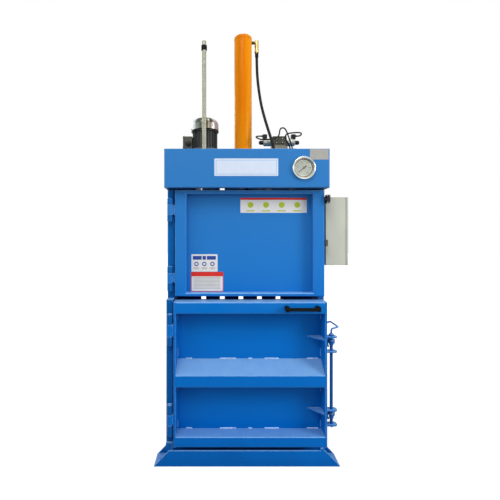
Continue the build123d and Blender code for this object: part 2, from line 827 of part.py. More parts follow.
def cylinder_gland():
    """Bolted flange with the spigot that passes through the deck and guides the rod."""
    z0 = deck_z + deck_t
    shape = upright(ram_x, ram_y, z0, z0 + gland_t, gland_r)
    shape += upright(ram_x, ram_y, spigot_z, z0, spigot_r - spigot_clear)
    bolt_circle = (gland_r + barrel_r) / 2
    for i in range(gland_bolts):
        angle = 2 * pi * (i + 0.5) / gland_bolts
        head = Pos(ram_x + bolt_circle * cos(angle), ram_y + bolt_circle * sin(angle), z0 + gland_t)
        shape += head * extrude(RegularPolygon(gland_bolt_r, 6), amount=gland_bolt_h)
    return shape - upright(ram_x, ram_y, spigot_z - 1, z0 + gland_t + 1, rod_r + rod_clear)


def hose_fittings():
    """Steel stub and brass elbow on the barrel, and the tail fitting on the manifold's front."""
    top = port_z + elbow_r
    upper = bar_x(ram_x + barrel_r - port_sink, elbow_x, ram_y, port_z, port_r)
    upper -= upright(ram_x, ram_y, elbow_z, top, barrel_r)
    upper += upright(elbow_x, ram_y, elbow_z, top, elbow_r)
    end = hose_points[-1]
    tail = upright(end[0], end[1], hose_tail_z, end[2], elbow_r)
    side = end[0] - elbow_r
    tail += span(side, side + 2 * elbow_r, end[1], stand_front_y, hose_tail_z, hose_tail_z + 2 * elbow_r)
    return Compound(children=[upper, tail])


def cord_tube(points, r, label):
    """Tube along straight runs that are joined by tangent arcs, each as large as its runs allow."""
    at = [Vector(*p) for p in points]
    radii = []
    for before, here, after in zip(at, at[1:], at[2:]):
        turn = radians((here - before).get_angle(after - here))
        radii.append(0.45 * min((here - before).length, (after - here).length) / tan(turn / 2))
    path = FilletPolyline(*points, radius=radii)
    tube = sweep(Plane(path @ 0, z_dir=path % 0) * Circle(r), path=path)
    print(label, "length", round(path.length, 1), "radii", [round(v) for v in radii],
          "volume ratio", round(tube.volume / (pi * r * r * path.length), 4))
    return tube


def stroke_rod():
    """Tube that shows how far the platen has gone down."""
    z0 = platen_z + platen_bar_h + platen_plate_t
    shape = upright(stroke_x, stroke_y, z0, stroke_top, stroke_r)
    return shape - upright(stroke_x, stroke_y, z0 - 1, stroke_top - stroke_wall, stroke_r - stroke_wall)


def stroke_collar():
    """Clamp collar on the stroke rod."""
    z1 = stroke_collar_z + stroke_collar_h
    ring = upright(stroke_x, stroke_y, stroke_collar_z, z1, stroke_collar_r)
    return ring - upright(stroke_x, stroke_y, stroke_collar_z - 1, z1 + 1, stroke_r)


def rod_bush():
    """Flanged bush that guides the stroke rod through the deck."""
    z1 = deck_z + deck_t
    shape = upright(stroke_x, stroke_y, deck_z, z1, bush_body_r)
    shape += upright(stroke_x, stroke_y, z1, z1 + bush_t, bush_r)
    return shape - upright(stroke_x, stroke_y, deck_z - 1, z1 + bush_t + 1, stroke_r + bush_clear)


def oil_tank():
    """Welded tank with the pump's hole in its top and a filler neck with its cap."""
    z0 = deck_z + deck_t
    shape = span(tank_x0, tank_x1, tank_y0, tank_y1, z0, tank_z1)
    shape = fillet(shape.edges().filter_by(Axis.Z), radius=tank_corner_r)
    y0 = tank_y0 + tank_t
    y1 = tank_y1 - tank_t
    shape -= span(tank_x0 + tank_t, tank_x1 - tank_t, y0, y1, z0 + tank_t, tank_z1 - tank_t)
    shape -= upright(motor_x, motor_y, tank_z1 - tank_t - 1, tank_z1 + 1, tank_hole_r)
    neck = upright(filler_x, filler_y, tank_z1, tank_z1 + filler_h, filler_neck_r)
    top = tank_z1 + filler_h
    return shape + neck + upright(filler_x, filler_y, top - filler_cap_h, top, filler_r)


def motor_body():
    """Cast motor housing with upright fins round it, its flange and the shaft stub for the fan."""
    root = motor_fin_t / 2 / motor_core_r
    tip = motor_fin_tip / 2 / motor_fin_r
    outline = []
    for i in range(motor_fins):
        a = 2 * pi * i / motor_fins
        for r, da in ((motor_core_r, -root), (motor_fin_r, -tip), (motor_fin_r, tip), (motor_core_r, root)):
            outline.append((motor_x + r * cos(a + da), motor_y + r * sin(a + da)))
    z0 = tank_z1 + motor_flange_t
    shape = prism_z(outline, z0, motor_z1 - motor_ring_t)
    shape += upright(motor_x, motor_y, tank_z1, z0, motor_flange_r)
    shape += upright(motor_x, motor_y, motor_z1 - motor_ring_t, motor_z1, cowl_r - cowl_t)
    return shape + upright(motor_x, motor_y, motor_z1, fan_z0 + fan_h, shaft_r)


def fan_cowl():
    """Pressed cowl with a domed shoulder and slots in its flat top."""
    def section(inset):
        edge = cowl_r - inset
        top = cowl_top - inset
        flat = cowl_flat_r
        shoulder_z = cowl_top - cowl_shoulder
        bulge_r = flat + (edge - flat) * cowl_bulge[0]
        bulge_z = shoulder_z + (top - shoulder_z) * cowl_bulge[1]
        outline = Polyline((0, cowl_z0 - inset), (edge, cowl_z0 - inset), (edge, shoulder_z))
        dome = ThreePointArc((edge, shoulder_z), (bulge_r, bulge_z), (flat, top))
        closing = Polyline((flat, top), (0, top), (0, cowl_z0 - inset))
        return make_face(outline + dome + closing)
    shape = revolve(Plane.XZ * section(0), axis=Axis.Z) - revolve(Plane.XZ * section(cowl_t), axis=Axis.Z)
    slot_r0, slot_r1, slot_half = cowl_slot
    slot = span(slot_r0, slot_r1, -slot_half, slot_half, cowl_top - cowl_t - 1, cowl_top + 1)
    for i in range(cowl_slots):
        shape -= Rot(0, 0, 360 / cowl_slots * i) * slot
    return Pos(motor_x, motor_y, 0) * shape


def motor_fan():
    """Moulded fan on the motor's shaft."""
    z1 = fan_z0 + fan_h
    half = fan_blade_t / 2
    shape = upright(0, 0, fan_z0, z1, fan_hub_r)
    for i in range(fan_blades):
        shape += Rot(0, 0, 360 / fan_blades * i) * span(fan_hub_r - 1, fan_r, -half, half, fan_z0, z1)
    shape += upright(0, 0, fan_z0, fan_z0 + fan_disc_t, fan_r)
    return Pos(motor_x, motor_y, 0) * (shape - upright(0, 0, fan_z0 - 1, z1 + 1, shaft_r + pin_clear))


def terminal_box():
    """Motor's terminal box with a lid and its gland."""
    x1 = motor_x - motor_fin_r
    y0 = motor_y - box_w / 2
    y1 = y0 + box_w
    z1 = box_z0 + box_h
    over = box_lid_over
    shape = span(box_x0 + box_lid_t, x1, y0, y1, box_z0, z1)
    lid = span(box_x0, box_x0 + box_lid_t, y0 - over, y1 + over, box_z0 - over, z1 + over)
    lid = fillet(lid.edges().filter_by(Axis.X), radius=box_round)
    return shape + lid + upright((box_x0 + x1) / 2, motor_y, box_z0 - box_gland_h, box_z0, box_gland_r)


def valve_stand():
    """Bent plate stand under the manifold."""
    top = valve_z0 - manifold_h
    z0 = deck_z + deck_t
    x0 = valve_x - stand_half
    x1 = valve_x + stand_half
    shape = span(x0, x1, stand_front_y, stand_rear_y, top - stand_t, top)
    for left in (x0, x1 - stand_t):
        shape += span(left, left + stand_t, stand_front_y, stand_rear_y, z0, top)
    return shape + span(x0, x1, stand_front_y, stand_front_y + stand_t, z0, top)


def manifold():
    """Drilled steel block between the stand and the valve."""
    half = valve_w / 2 + manifold_over
    y0 = valve_y - valve_d / 2
    return span(valve_x - half, valve_x + half, y0, y0 + valve_d, valve_z0 - manifold_h, valve_z0)


def steel_pipes():
    """Bent pipes to the manifold's back: pump pressure, return to the tank, and the gland's port."""
    back = valve_y + valve_d / 2
    top = valve_z0 - manifold_h / 2
    gland_z = deck_z + deck_t + gland_t / 2
    parts = []
    for i, y in ((-1, pipe_y), (0, pipe_y + pipe_pitch)):
        x = valve_x + i * pipe_pitch
        path = FilletPolyline(
            (tank_x1, y, pipe_z), (x, y, pipe_z), (x, y, top), (x, back, top), radius=pipe_bend,
        )
        parts.append(sweep(Plane(path @ 0, z_dir=path % 0) * Circle(pipe_r), path=path))
    x = valve_x + pipe_pitch
    y = pipe_y - pipe_pitch / 2
    path = FilletPolyline(
        (ram_x, ram_y + gland_r, gland_z), (ram_x, y + pipe_bend, gland_z), (x, y + pipe_bend, gland_z),
        (x, y + pipe_bend, top), (x, back, top), radius=gland_pipe_bend,
    )
    tube = sweep(Plane(path @ 0, z_dir=path % 0) * Circle(pipe_r), path=path)
    rim = ram_y + gland_r
    socket = bar_y(ram_x, rim + pipe_socket[0], rim + pipe_socket[1], gland_z, pipe_socket_r)
    parts.append(tube + socket - upright(ram_x, ram_y, gland_z - gland_t, gland_z + gland_t, gland_r))
    return Compound(children=parts)


def valve_block():
    """Directional valve body with a step for its cover plate."""
    z1 = valve_z0 + valve_h
    half = valve_w / 2
    front = valve_y - valve_d / 2
    shape = span(valve_x - half, valve_x + half, front, front + valve_d, valve_z0, z1)
    shape = chamfer(shape.edges().group_by(Axis.Z)[-1], valve_edge)
    x0 = valve_x - valve_cover_half
    x1 = valve_x + valve_cover_half
    plate = span(x0, x1, front - valve_cover_t, front, valve_z0 + valve_cover_in, z1 - valve_cover_in)
    return shape + plate


def solenoid_coils():
    """Two round coils, one on each end of the valve, each with a flat seat for its plug."""
    parts = []
    for s in (-1, 1):
        x0 = valve_x + s * valve_w / 2
        x1 = x0 + s * coil_l
        coil = bar_x(min(x0, x1), max(x0, x1), valve_y, coil_z, coil_r)
        coil = chamfer(coil.edges().filter_by(GeomType.CIRCLE), coil_edge)
        seat_x = valve_x + s * (valve_w / 2 + coil_l / 2)
        half = plug_l / 2
        y0 = valve_y - plug_d / 2
        seat = span(seat_x - half, seat_x + half, y0, y0 + plug_d, coil_z, coil_z + coil_r)
        parts.append(coil + seat)
    return Compound(children=parts)


def solenoid_nuts():
    """Knurled end nuts that hold the coils on their core tubes."""
    parts = []
    for s in (-1, 1):
        x0 = valve_x + s * (valve_w / 2 + coil_l)
        x1 = x0 + s * nut_l
        nut = bar_x(min(x0, x1), max(x0, x1), valve_y, coil_z, nut_r)
        tip = bar_x(min(x1, x1 + s * core_tip), max(x1, x1 + s * core_tip), valve_y, coil_z, core_r)
        parts.append(nut + tip)
    return Compound(children=parts)


def coil_plugs():
    """Plug on each coil with its cable gland, and the two glands in which the leads pass the deck."""
    parts = []
    top = coil_z + coil_r
    for s, points in ((-1, left_lead_points), (1, right_lead_points)):
        exit_x = points[0][0]
        inner_x = exit_x - s * plug_gland_l
        block_x = inner_x - s * plug_l
        gland_z = points[0][2]
        x0 = min(inner_x, block_x)
        x1 = max(inner_x, block_x)
        block = span(x0, x1, valve_y - plug_d / 2, valve_y + plug_d / 2, top, top + plug_h)
        block = chamfer(block.edges().group_by(Axis.Z)[-1], plug_edge)
        parts.append(block + bar_x(min(inner_x, exit_x), max(inner_x, exit_x), valve_y, gland_z, plug_gland_r))
        end = points[-1]
        parts.append(upright(end[0], end[1], deck_z + deck_t, end[2], deck_gland_r))
    return Compound(children=parts)


def gauge_case():
    """Cup of the gauge behind the fascia, with its threaded stem."""
    y1 = fascia_front + gauge_case_d
    cup = bar_y(gauge_x, fascia_front, y1, gauge_z, gauge_case_r)
    cup -= bar_y(gauge_x, fascia_front - 1, y1 - gauge_case_t, gauge_z, gauge_case_r - gauge_case_t)
    return cup + bar_y(gauge_x, y1, y1 + gauge_stem_l, gauge_z, gauge_stem_r)


def gauge_bezel():
    """Polished rim with rounded edges."""
    y0 = fascia_front - gauge_bezel_t
    ring = bar_y(gauge_x, y0, fascia_front, gauge_z, gauge_bezel_r)
    ring = fillet(ring.edges().group_by(Axis.Y)[0], radius=gauge_bezel_round)
    return ring - bar_y(gauge_x, y0 - 1, fascia_front + 1, gauge_z, gauge_dial_r)


def gauge_dial():
    """Dial plate on a post from the case's back, with the pointer's pivot."""
    y0 = fascia_front + gauge_dial_back
    back = fascia_front + gauge_case_d - gauge_case_t
    dial = bar_y(gauge_x, y0, y0 + gauge_dial_t, gauge_z, gauge_dial_r)
    dial += bar_y(gauge_x, y0, back, gauge_z, gauge_post_r)
    return dial + bar_y(gauge_x, y0 - gauge_pivot_l, y0, gauge_z, gauge_pivot_r)


def gauge_pointer():
    """Pointer with a short tail and its weight, at its zero."""
    y1 = fascia_front + gauge_dial_back - pointer_gap
    y0 = y1 - pointer_t
    hub = bar_y(0, y0, y1, 0, pointer_hub_r)
    tail = -pointer_tail
    tip = gauge_pointer_l
    outline = [(tail, -pointer_root), (tail, pointer_root), (tip, pointer_tip), (tip, -pointer_tip)]
    blade = prism_y(outline, y0, y1)
    weight = Pos(tail, 0, 0) * bar_y(0, y0, y1, 0, pointer_weight_r)
    shape = hub + blade + weight - bar_y(0, y0 - 1, y1 + 1, 0, gauge_pivot_r + pointer_clear)
    return Pos(gauge_x, 0, gauge_z) * Rot(0, -gauge_pointer_deg, 0) * shape


def gauge_glass():
    """Window in the rim."""
    r = gauge_dial_r - gauge_glass_clear
    return bar_y(gauge_x, fascia_front - gauge_glass_t, fascia_front, gauge_z, r)


def cab_hinge_zs():
    """Lower end of each cabinet hinge barrel pair."""
    return (cab_z0 + cab_hinge_in, cab_z1 - cab_hinge_in - cab_hinge_l)


def cabinet_box():
    """Sheet-steel enclosure, open to the right, on four pads against the wall, with its hinge halves."""
    shape = span(cab_x0, cab_x1, cab_y0, cab_y1, cab_z0, cab_z1)
    shape = fillet(shape.edges().filter_by(Axis.X), radius=cab_fold_r)
    shape -= span(cab_x0 + cab_t, cab_x1 + 1, cab_y0 + cab_t, cab_y1 - cab_t, cab_z0 + cab_t, cab_z1 - cab_t)
    for y in (cab_y0 + cab_pad_in, cab_y1 - cab_pad_in):
        for z in (cab_z0 + cab_pad_in, cab_z1 - cab_pad_in):
            shape += bar_x(body_half, cab_x0, y, z, cab_pad_r)
    for z in cab_hinge_zs():
        half = z + cab_hinge_l / 2
        shape += span(cab_leaf_x0, cab_leaf_x1, cab_y1, cab_hinge_y + cab_leaf_half, z, half)
        leaf_y0 = cab_hinge_y - cab_leaf_half
        shape += span(cab_leaf_x0, cab_hinge_x, leaf_y0, cab_hinge_y + cab_leaf_half, z, half)
        shape += upright(cab_hinge_x, cab_hinge_y, z, half, cab_hinge_r)
        shape += upright(cab_hinge_x, cab_hinge_y, half, z + cab_hinge_l, cab_hinge_pin_r)
    return shape


def cabinet_door():
    """Tray-shaped cabinet door with button bosses and its hinge halves."""
    shape = span(cab_door_x0, cab_door_x1, cab_y0, cab_y1, cab_z0, cab_z1)
    shape = fillet(shape.edges().filter_by(Axis.X) + shape.edges().group_by(Axis.X)[-1], radius=cab_fold_r)
    y1 = cab_y1 - cab_t
    z1 = cab_z1 - cab_t
    shape -= span(cab_door_x0 - 1, cab_door_x1 - cab_t, cab_y0 + cab_t, y1, cab_z0 + cab_t, z1)
    for z in cab_hinge_zs():
        half = z + cab_hinge_l / 2 + cab_hinge_gap
        x0 = cab_hinge_x - cab_lid_leaf_half
        x1 = cab_hinge_x + cab_lid_leaf_half
        shape += upright(cab_hinge_x, cab_hinge_y, half, z + cab_hinge_l, cab_hinge_r)
        shape += span(x0, x1, cab_y1 - cab_t, cab_hinge_y, half, z + cab_hinge_l)
        shape -= upright(cab_hinge_x, cab_hinge_y, half - 1, z + cab_hinge_l + 1, cab_hinge_pin_r + pin_clear)
    for y, z in ((stop_y, stop_z), (push_y, up_z), (push_y, down_z), (selector_y, selector_z)):
        shape += bar_x(cab_door_x0, cab_door_x1 + boss_t, y, z, boss_r)
        shape -= bar_x(cab_door_x0 - 1, cab_door_x1 + boss_t + 1, y, z, push_r + push_clear)
    return shape


def cabinet_gear():
    """Mounting plate with its spacers, rail, contactors, relay, transformer and terminal row."""
    y0 = cab_y0 + gear_in
    y1 = cab_y1 - gear_in
    z0 = cab_z0 + gear_in
    z1 = cab_z1 - gear_in
    face = gear_x + gear_plate_t
    shape = span(gear_x, face, y0, y1, z0, z1)
    for y in (y0 + gear_post_in[0], y1 - gear_post_in[0]):
        for z in (z0 + gear_post_in[1], z1 - gear_post_in[1]):
            shape += bar_x(cab_x0 + cab_t, gear_x, y, z, gear_post_r)
    rail_x = face + gear_rail_t
    for lift, height, devices in gear_rows:
        z = cab_z0 + lift
        mid = z + height / 2
        low = mid - gear_rail_half
        shape += span(face, rail_x, y0 + gear_rail_in, y1 - gear_rail_in, low, low + 2 * gear_rail_half)
        for left, right, depth in devices:
            shape += span(rail_x, gear_x + depth, cab_y0 + left, cab_y0 + right, z, z + height)
    return shape


def stem(y, z, x1):
    """Stem of a control in its boss, with the flange that keeps it in."""
    return bar_x(stem_x0, x1, y, z, push_r) + bar_x(stem_x0, stem_flange_x1, y, z, stem_flange_r)


def stop_button():
    """Mushroom button: a wide cap in front of the boss."""
    cap_x0 = cab_door_x1 + boss_t + stop_stand
    cap_x1 = cap_x0 + stop_cap_t
    cap = bar_x(cap_x0, cap_x1, stop_y, stop_z, stop_r)
    return stem(stop_y, stop_z, cap_x1) + fillet(cap.edges().group_by(Axis.X)[-1], radius=stop_round)


def push_button(z):
    """Plain push button whose stem stands out of the boss."""
    return stem(push_y, z, cab_door_x1 + boss_t + push_stand)


def selector_knob():
    """Selector with a grip bar across its face."""
    face = cab_door_x1 + boss_t
    top = face + knob_disc_t
    disc = bar_x(face + knob_gap, top, selector_y, selector_z, knob_disc_r)
    grip = span(top, top + grip_t, selector_y - grip_half_w, selector_y + grip_half_w,
                selector_z - grip_half_l, selector_z + grip_half_l)
    return stem(selector_y, selector_z, top) + disc + fillet(grip.edges().filter_by(Axis.Z), radius=grip_round)


def limit_switch():
    """Black switch beside the feed door, on a bent arm from the wall."""
    body = span(switch_x0, switch_x1, switch_y0, switch_y1, switch_z0, switch_z1)
    body = fillet(body.edges().filter_by(Axis.Y), radius=side_round)
    mid_y = (switch_y0 + switch_y1) / 2
    mid_z = (switch_z0 + switch_z1) / 2
    body -= bar_x(switch_x0 - 1, switch_x0 + switch_bore_l, mid_y, mid_z, plunger_r + plunger_clear)
    z0 = switch_z0 + switch_arm_in
    arm = span(body_half, body_half + side_arm_t, switch_y1, side_arm_y1, z0, switch_z1 - switch_arm_in)
    return Compound(children=[body, arm])


def limit_plunger():
    """Sprung plunger that the feed door's edge presses."""
    mid_y = (switch_y0 + switch_y1) / 2
    mid_z = (switch_z0 + switch_z1) / 2
    rod = bar_x(door_right + plunger_gap, switch_x0 + plunger_l, mid_y, mid_z, plunger_r)
    return fillet(rod.edges().group_by(Axis.X)[0], radius=plunger_round)


def door_catch():
    """Dark catch beside the feed door: a head on an arm from the wall."""
    y1 = upper_front + catch_d
    z0 = catch_z0 + catch_arm_in
    head = span(catch_x0, catch_x1, upper_front, y1, catch_z0, catch_z1)
    head = fillet(head.edges().filter_by(Axis.Y), radius=side_round)
    return head + span(body_half, body_half + side_arm_t, y1, side_arm_y1, z0, catch_z1 - catch_arm_in)


NODES = {
    "front_foot": front_foot(),
    "rear_foot": foot(1),
    "chamber_floor": chamber_floor(),
    "left_wall": left_wall(),
    "right_wall": right_wall(),
    "rear_wall": rear_wall(),
    "hinge_post": hinge_post(),
    "frame_knuckles": frame_knuckles(),
    "hinge_pins": hinge_pins(),
    "latch_keepers": latch_keepers(),
    "front_beam": front_beam(),
    "deck_plate": deck_plate(),
    "front_fascia": front_fascia(),
    "lower_door_frame": lower_door_frame(),
    "lower_door_panel": lower_door_panel(),
    "door_handle": door_handle(),
    "latch_shaft": latch_shaft(),
    "latch_handle": latch_handle(),
    "upper_door_frame": upper_door_frame(),
    "upper_door_panel": upper_door_panel(),
    "platen": platen(),
    "piston_rod": piston_rod(),
    "cylinder_barrel": cylinder_barrel(),
    "cylinder_cap": cylinder_cap(),
    "cylinder_gland": cylinder_gland(),
    "hose_fittings": hose_fittings(),
    "pressure_hose": cord_tube(hose_points, hose_r, "pressure_hose"),
    "stroke_rod": stroke_rod(),
    "stroke_collar": stroke_collar(),
    "rod_bush": rod_bush(),
    "oil_tank": oil_tank(),
    "motor_body": motor_body(),
    "fan_cowl": fan_cowl(),
    "motor_fan": motor_fan(),
    "terminal_box": terminal_box(),
    "valve_stand": valve_stand(),
    "manifold": manifold(),
    "steel_pipes": steel_pipes(),
    "valve_block": valve_block(),
    "solenoid_coils": solenoid_coils(),
    "solenoid_nuts": solenoid_nuts(),
    "coil_plugs": coil_plugs(),
    "left_lead": cord_tube(left_lead_points, lead_r, "left_lead"),
    "right_lead": cord_tube(right_lead_points, lead_r, "right_lead"),
    "gauge_case": gauge_case(),
    "gauge_bezel": gauge_bezel(),
    "gauge_dial": gauge_dial(),
    "gauge_pointer": gauge_pointer(),
    "gauge_glass": gauge_glass(),
    "cabinet_box": cabinet_box(),
    "cabinet_door": cabinet_door(),
    "cabinet_gear": cabinet_gear(),
    "stop_button": stop_button(),
    "up_button": push_button(up_z),
    "down_button": push_button(down_z),
    "selector_knob": selector_knob(),
    "limit_switch": limit_switch(),
    "limit_plunger": limit_plunger(),
    "door_catch": door_catch(),
}

os.makedirs("parts", exist_ok=True)
for node_name, node_shape in NODES.items():
    export_step(node_shape, f"parts/{node_name}.step")
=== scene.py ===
"""Vertical baler in painted sheet steel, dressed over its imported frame. +Z is up and the doors face -Y.

The scene is in metres; places and profiles of meshes are written in millimetres.
"""
import math
import random

import bmesh
import bpy
from mathutils import Matrix, Vector


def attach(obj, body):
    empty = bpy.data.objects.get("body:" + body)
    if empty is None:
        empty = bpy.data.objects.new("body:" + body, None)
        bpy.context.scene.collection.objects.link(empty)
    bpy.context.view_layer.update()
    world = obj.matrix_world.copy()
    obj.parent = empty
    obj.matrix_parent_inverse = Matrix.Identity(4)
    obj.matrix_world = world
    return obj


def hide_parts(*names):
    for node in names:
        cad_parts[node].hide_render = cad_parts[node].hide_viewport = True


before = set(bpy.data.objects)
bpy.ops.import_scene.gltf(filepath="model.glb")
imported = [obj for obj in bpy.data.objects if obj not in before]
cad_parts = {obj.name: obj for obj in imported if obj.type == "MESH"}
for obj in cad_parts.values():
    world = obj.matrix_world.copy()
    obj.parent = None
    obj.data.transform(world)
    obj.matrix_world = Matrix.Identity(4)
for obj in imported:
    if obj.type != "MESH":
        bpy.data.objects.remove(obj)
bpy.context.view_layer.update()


# Studio: a pale paper floor that runs out to white, and soft light from above the front and from both sides.
# The floor and the world show white to the camera and in reflections, and the floor keeps the shadow.
def linear(code):
    """sRGB hex to a linear RGBA colour."""
    parts = [int(code[i:i + 2], 16) / 255 for i in (1, 3, 5)]
    return (*[c / 12.92 if c <= 0.04045 else ((c + 0.055) / 1.055) ** 2.4 for c in parts], 1.0)


def add(tree, kind, inputs=(), **settings):
    """Adds one shader node; inputs gives each socket a value or another node's output."""
    made = tree.nodes.new("ShaderNode" + kind)
    for name, value in settings.items():
        setattr(made, name, value)
    for socket, value in dict(inputs).items():
        if isinstance(value, bpy.types.NodeSocket):
            tree.links.new(value, made.inputs[socket])
        else:
            made.inputs[socket].default_value = value
    return made


def fresh(name):
    """New material, with its tree and its surface node."""
    made = bpy.data.materials.new(name)
    made.use_nodes = True
    return made, made.node_tree, made.node_tree.nodes["Principled BSDF"]


def plain_view(tree):
    """1 for the camera and for rays that come through glass or off a polished face, else 0."""
    rays = add(tree, "LightPath").outputs
    clear = add(tree, "Math", {0: rays["Is Camera Ray"], 1: rays["Is Transmission Ray"]}, operation="MAXIMUM")
    return add(tree, "Math", {0: clear.outputs[0], 1: rays["Is Glossy Ray"]}, operation="MAXIMUM").outputs[0]


scene = bpy.context.scene
scene.view_settings.view_transform = "Standard"
world = bpy.data.worlds.new("white_studio")
scene.world = world
world.use_nodes = True
tree = world.node_tree
tree.nodes.clear()
where = add(tree, "TexCoord")
height = add(tree, "SeparateXYZ", {0: where.outputs["Generated"]})
sky = add(tree, "MapRange", {
    "Value": height.outputs["Z"], "From Min": -0.2, "From Max": 0.9, "To Min": 0.24, "To Max": 0.46,
})
level = add(tree, "Mix", {0: plain_view(tree), 2: sky.outputs[0], 3: 1.0})
air = add(tree, "Background", {"Color": linear("#FFFFFF"), "Strength": level.outputs[0]})
add(tree, "OutputWorld", {"Surface": air.outputs[0]})

floor_mesh = bpy.data.meshes.new("studio_floor")
floor_mesh.from_pydata([(-14, -10, 0), (14, -10, 0), (14, 18, 0), (-14, 18, 0)], [], [(0, 1, 2, 3)])
floor = bpy.data.objects.new("studio_floor", floor_mesh)
scene.collection.objects.link(floor)
paper, tree, surface = fresh("white_studio_paper")
surface.inputs["Base Color"].default_value = linear("#A8A8A6")
surface.inputs["Roughness"].default_value = 0.9
where = add(tree, "TexCoord")
away = add(tree, "VectorMath", {0: where.outputs["Object"]}, operation="LENGTH")
fade = add(tree, "MapRange", {
    "Value": away.outputs["Value"], "From Min": 0.9, "From Max": 3.2, "To Min": 0.72, "To Max": 1.0,
})
glow = add(tree, "Math", {0: plain_view(tree), 1: fade.outputs[0]}, operation="MULTIPLY")
shine = add(tree, "Emission", {"Color": linear("#FFFFFF"), "Strength": glow.outputs[0]})
both = add(tree, "AddShader", {0: surface.outputs[0], 1: shine.outputs[0]})
tree.links.new(both.outputs[0], tree.nodes["Material Output"].inputs["Surface"])
floor_mesh.materials.append(paper)

for name, place, aim, size, watts in (
    ("key_softbox", (-0.9, -3.0, 5.0), (0.0, -0.2, 1.1), 1.8, 125),
    ("right_softbox", (3.5, -2.2, 2.4), (0.0, 0.0, 1.2), 1.6, 120),
    ("left_softbox", (-3.5, -2.0, 2.2), (0.0, 0.0, 1.2), 2.0, 42),
    ("top_softbox", (0.3, -0.9, 5.4), (0.0, -0.3, 1.0), 2.0, 38),
    ("back_softbox", (-2.6, 3.4, 2.8), (0.0, 0.2, 1.4), 2.2, 60),
):
    lamp = bpy.data.lights.new(name, "AREA")
    lamp.size = size
    lamp.energy = watts
    holder = bpy.data.objects.new(name, lamp)
    holder.location = place
    holder.rotation_euler = (Vector(aim) - Vector(place)).to_track_quat("-Z", "Y").to_euler()
    scene.collection.objects.link(holder)

# A level camera at chest height, a little left of the middle and close, so that the head is seen from below.
lens = bpy.data.cameras.new("camera")
lens.sensor_width = 36.0
lens.lens = 25.7
lens.shift_x = 0.056
lens.shift_y = -0.04
camera = bpy.data.objects.new("camera", lens)
camera.location = (-0.140, -2.350, 1.322)
camera.rotation_euler = (math.radians(90), 0, 0)
scene.collection.objects.link(camera)
scene.camera = camera


# Pressure hose from the elbow at the cylinder's head down to the manifold. A wire-braided hose with a smooth
# black rubber cover, 18 mm across, with a sleeve pressed on at each end.
def cord_line(name, points, diameter, material):
    """Free cord along control points in millimetres."""
    curve = bpy.data.curves.new(name, "CURVE")
    curve.dimensions = "3D"
    curve.bevel_depth = diameter / 2
    curve.bevel_resolution = 6
    curve.resolution_u = 8
    spline = curve.splines.new("NURBS")
    spline.points.add(len(points) - 1)
    for point, at in zip(spline.points, points):
        point.co = (at[0] / 1000, at[1] / 1000, at[2] / 1000, 1)
    spline.order_u = 3
    spline.use_endpoint_u = True
    curve.materials.append(material)
    line = bpy.data.objects.new(name, curve)
    scene.collection.objects.link(line)
    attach(line, "root")
    return line


def turned(shape, at, axis, profile, sides=32, tint=0):
    """Closed turned form along an axis, in millimetres, from rings of (distance, radius)."""
    turn = Vector(axis).to_track_quat("Z", "Y").to_matrix()
    rings = []
    for reach, r in profile:
        ring = []
        for i in range(sides):
            a = 2 * math.pi * i / sides
            spot = Vector(at) + turn @ Vector((r * math.cos(a), r * math.sin(a), reach))
            ring.append(shape.verts.new(spot / 1000))
        rings.append(ring)
    faces = [shape.faces.new(list(reversed(rings[0]))), shape.faces.new(rings[-1])]
    for low, high in zip(rings, rings[1:]):
        for i in range(sides):
            j = (i + 1) % sides
            faces.append(shape.faces.new((low[i], low[j], high[j], high[i])))
    for face in faces:
        face.material_index = tint


def make_piece(name, shape, materials, body):
    """Object from a bmesh, on its body, smooth but for its sharp edges."""
    bmesh.ops.recalc_face_normals(shape, faces=shape.faces)
    for face in shape.faces:
        face.smooth = True
    for edge in shape.edges:
        edge.smooth = edge.is_manifold and edge.calc_face_angle() < math.radians(35)
    mesh = bpy.data.meshes.new(name)
    shape.to_mesh(mesh)
    shape.free()
    for material in materials:
        mesh.materials.append(material)
    made = bpy.data.objects.new(name, mesh)
    scene.collection.objects.link(made)
    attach(made, body)
    return made


rubber, tree, surface = fresh("smooth_black_hose_rubber")
surface.inputs["Roughness"].default_value = 0.55
surface.inputs["IOR"].default_value = 1.52
surface.inputs["Specular IOR Level"].default_value = 0.12
where = add(tree, "TexCoord")
bloom = add(tree, "TexNoise", {"Vector": where.outputs["Object"], "Scale": 1000 / 45, "Detail": 3.0})
tone = add(tree, "Mix", {
    0: bloom.outputs["Fac"], 6: linear("#0A0A0B"), 7: linear("#151617"),
}, data_type="RGBA")
wrap = add(tree, "TexNoise", {"Vector": where.outputs["Object"], "Scale": 1000 / 2.5, "Detail": 2.0})
bump = add(tree, "Bump", {"Strength": 0.25, "Distance": 0.0003, "Height": wrap.outputs["Fac"]})
tree.links.new(tone.outputs[2], surface.inputs["Base Color"])
tree.links.new(bump.outputs[0], surface.inputs["Normal"])

hose_points = [
    (91, 25, 2497), (91, 25, 2392), (100, 8, 2262), (116, -16, 2138), (134, -42, 2050),
    (151, -68, 1976), (166, -91, 1914), (180, -109, 1856), (188, -117, 1808), (188, -117, 1768),
]
hose = cord_line("pressure_hose_line", hose_points, 0.018, rubber)
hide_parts("pressure_hose")

sleeves = bmesh.new()
sleeve_profile = (
    (0.0, 9.2), (0.0, 11.8), (5.0, 11.8), (6.0, 10.9), (10.0, 10.9), (11.0, 11.8), (15.0, 11.8), (16.0, 10.9),
    (20.0, 10.9), (21.0, 11.8), (26.0, 11.6), (27.0, 9.2),
)
turned(sleeves, hose_points[0], (0, 0, -1), sleeve_profile)
turned(sleeves, hose_points[-1], (0, 0, 1), sleeve_profile)
make_piece("hose_sleeves", sleeves, (rubber,), "root")


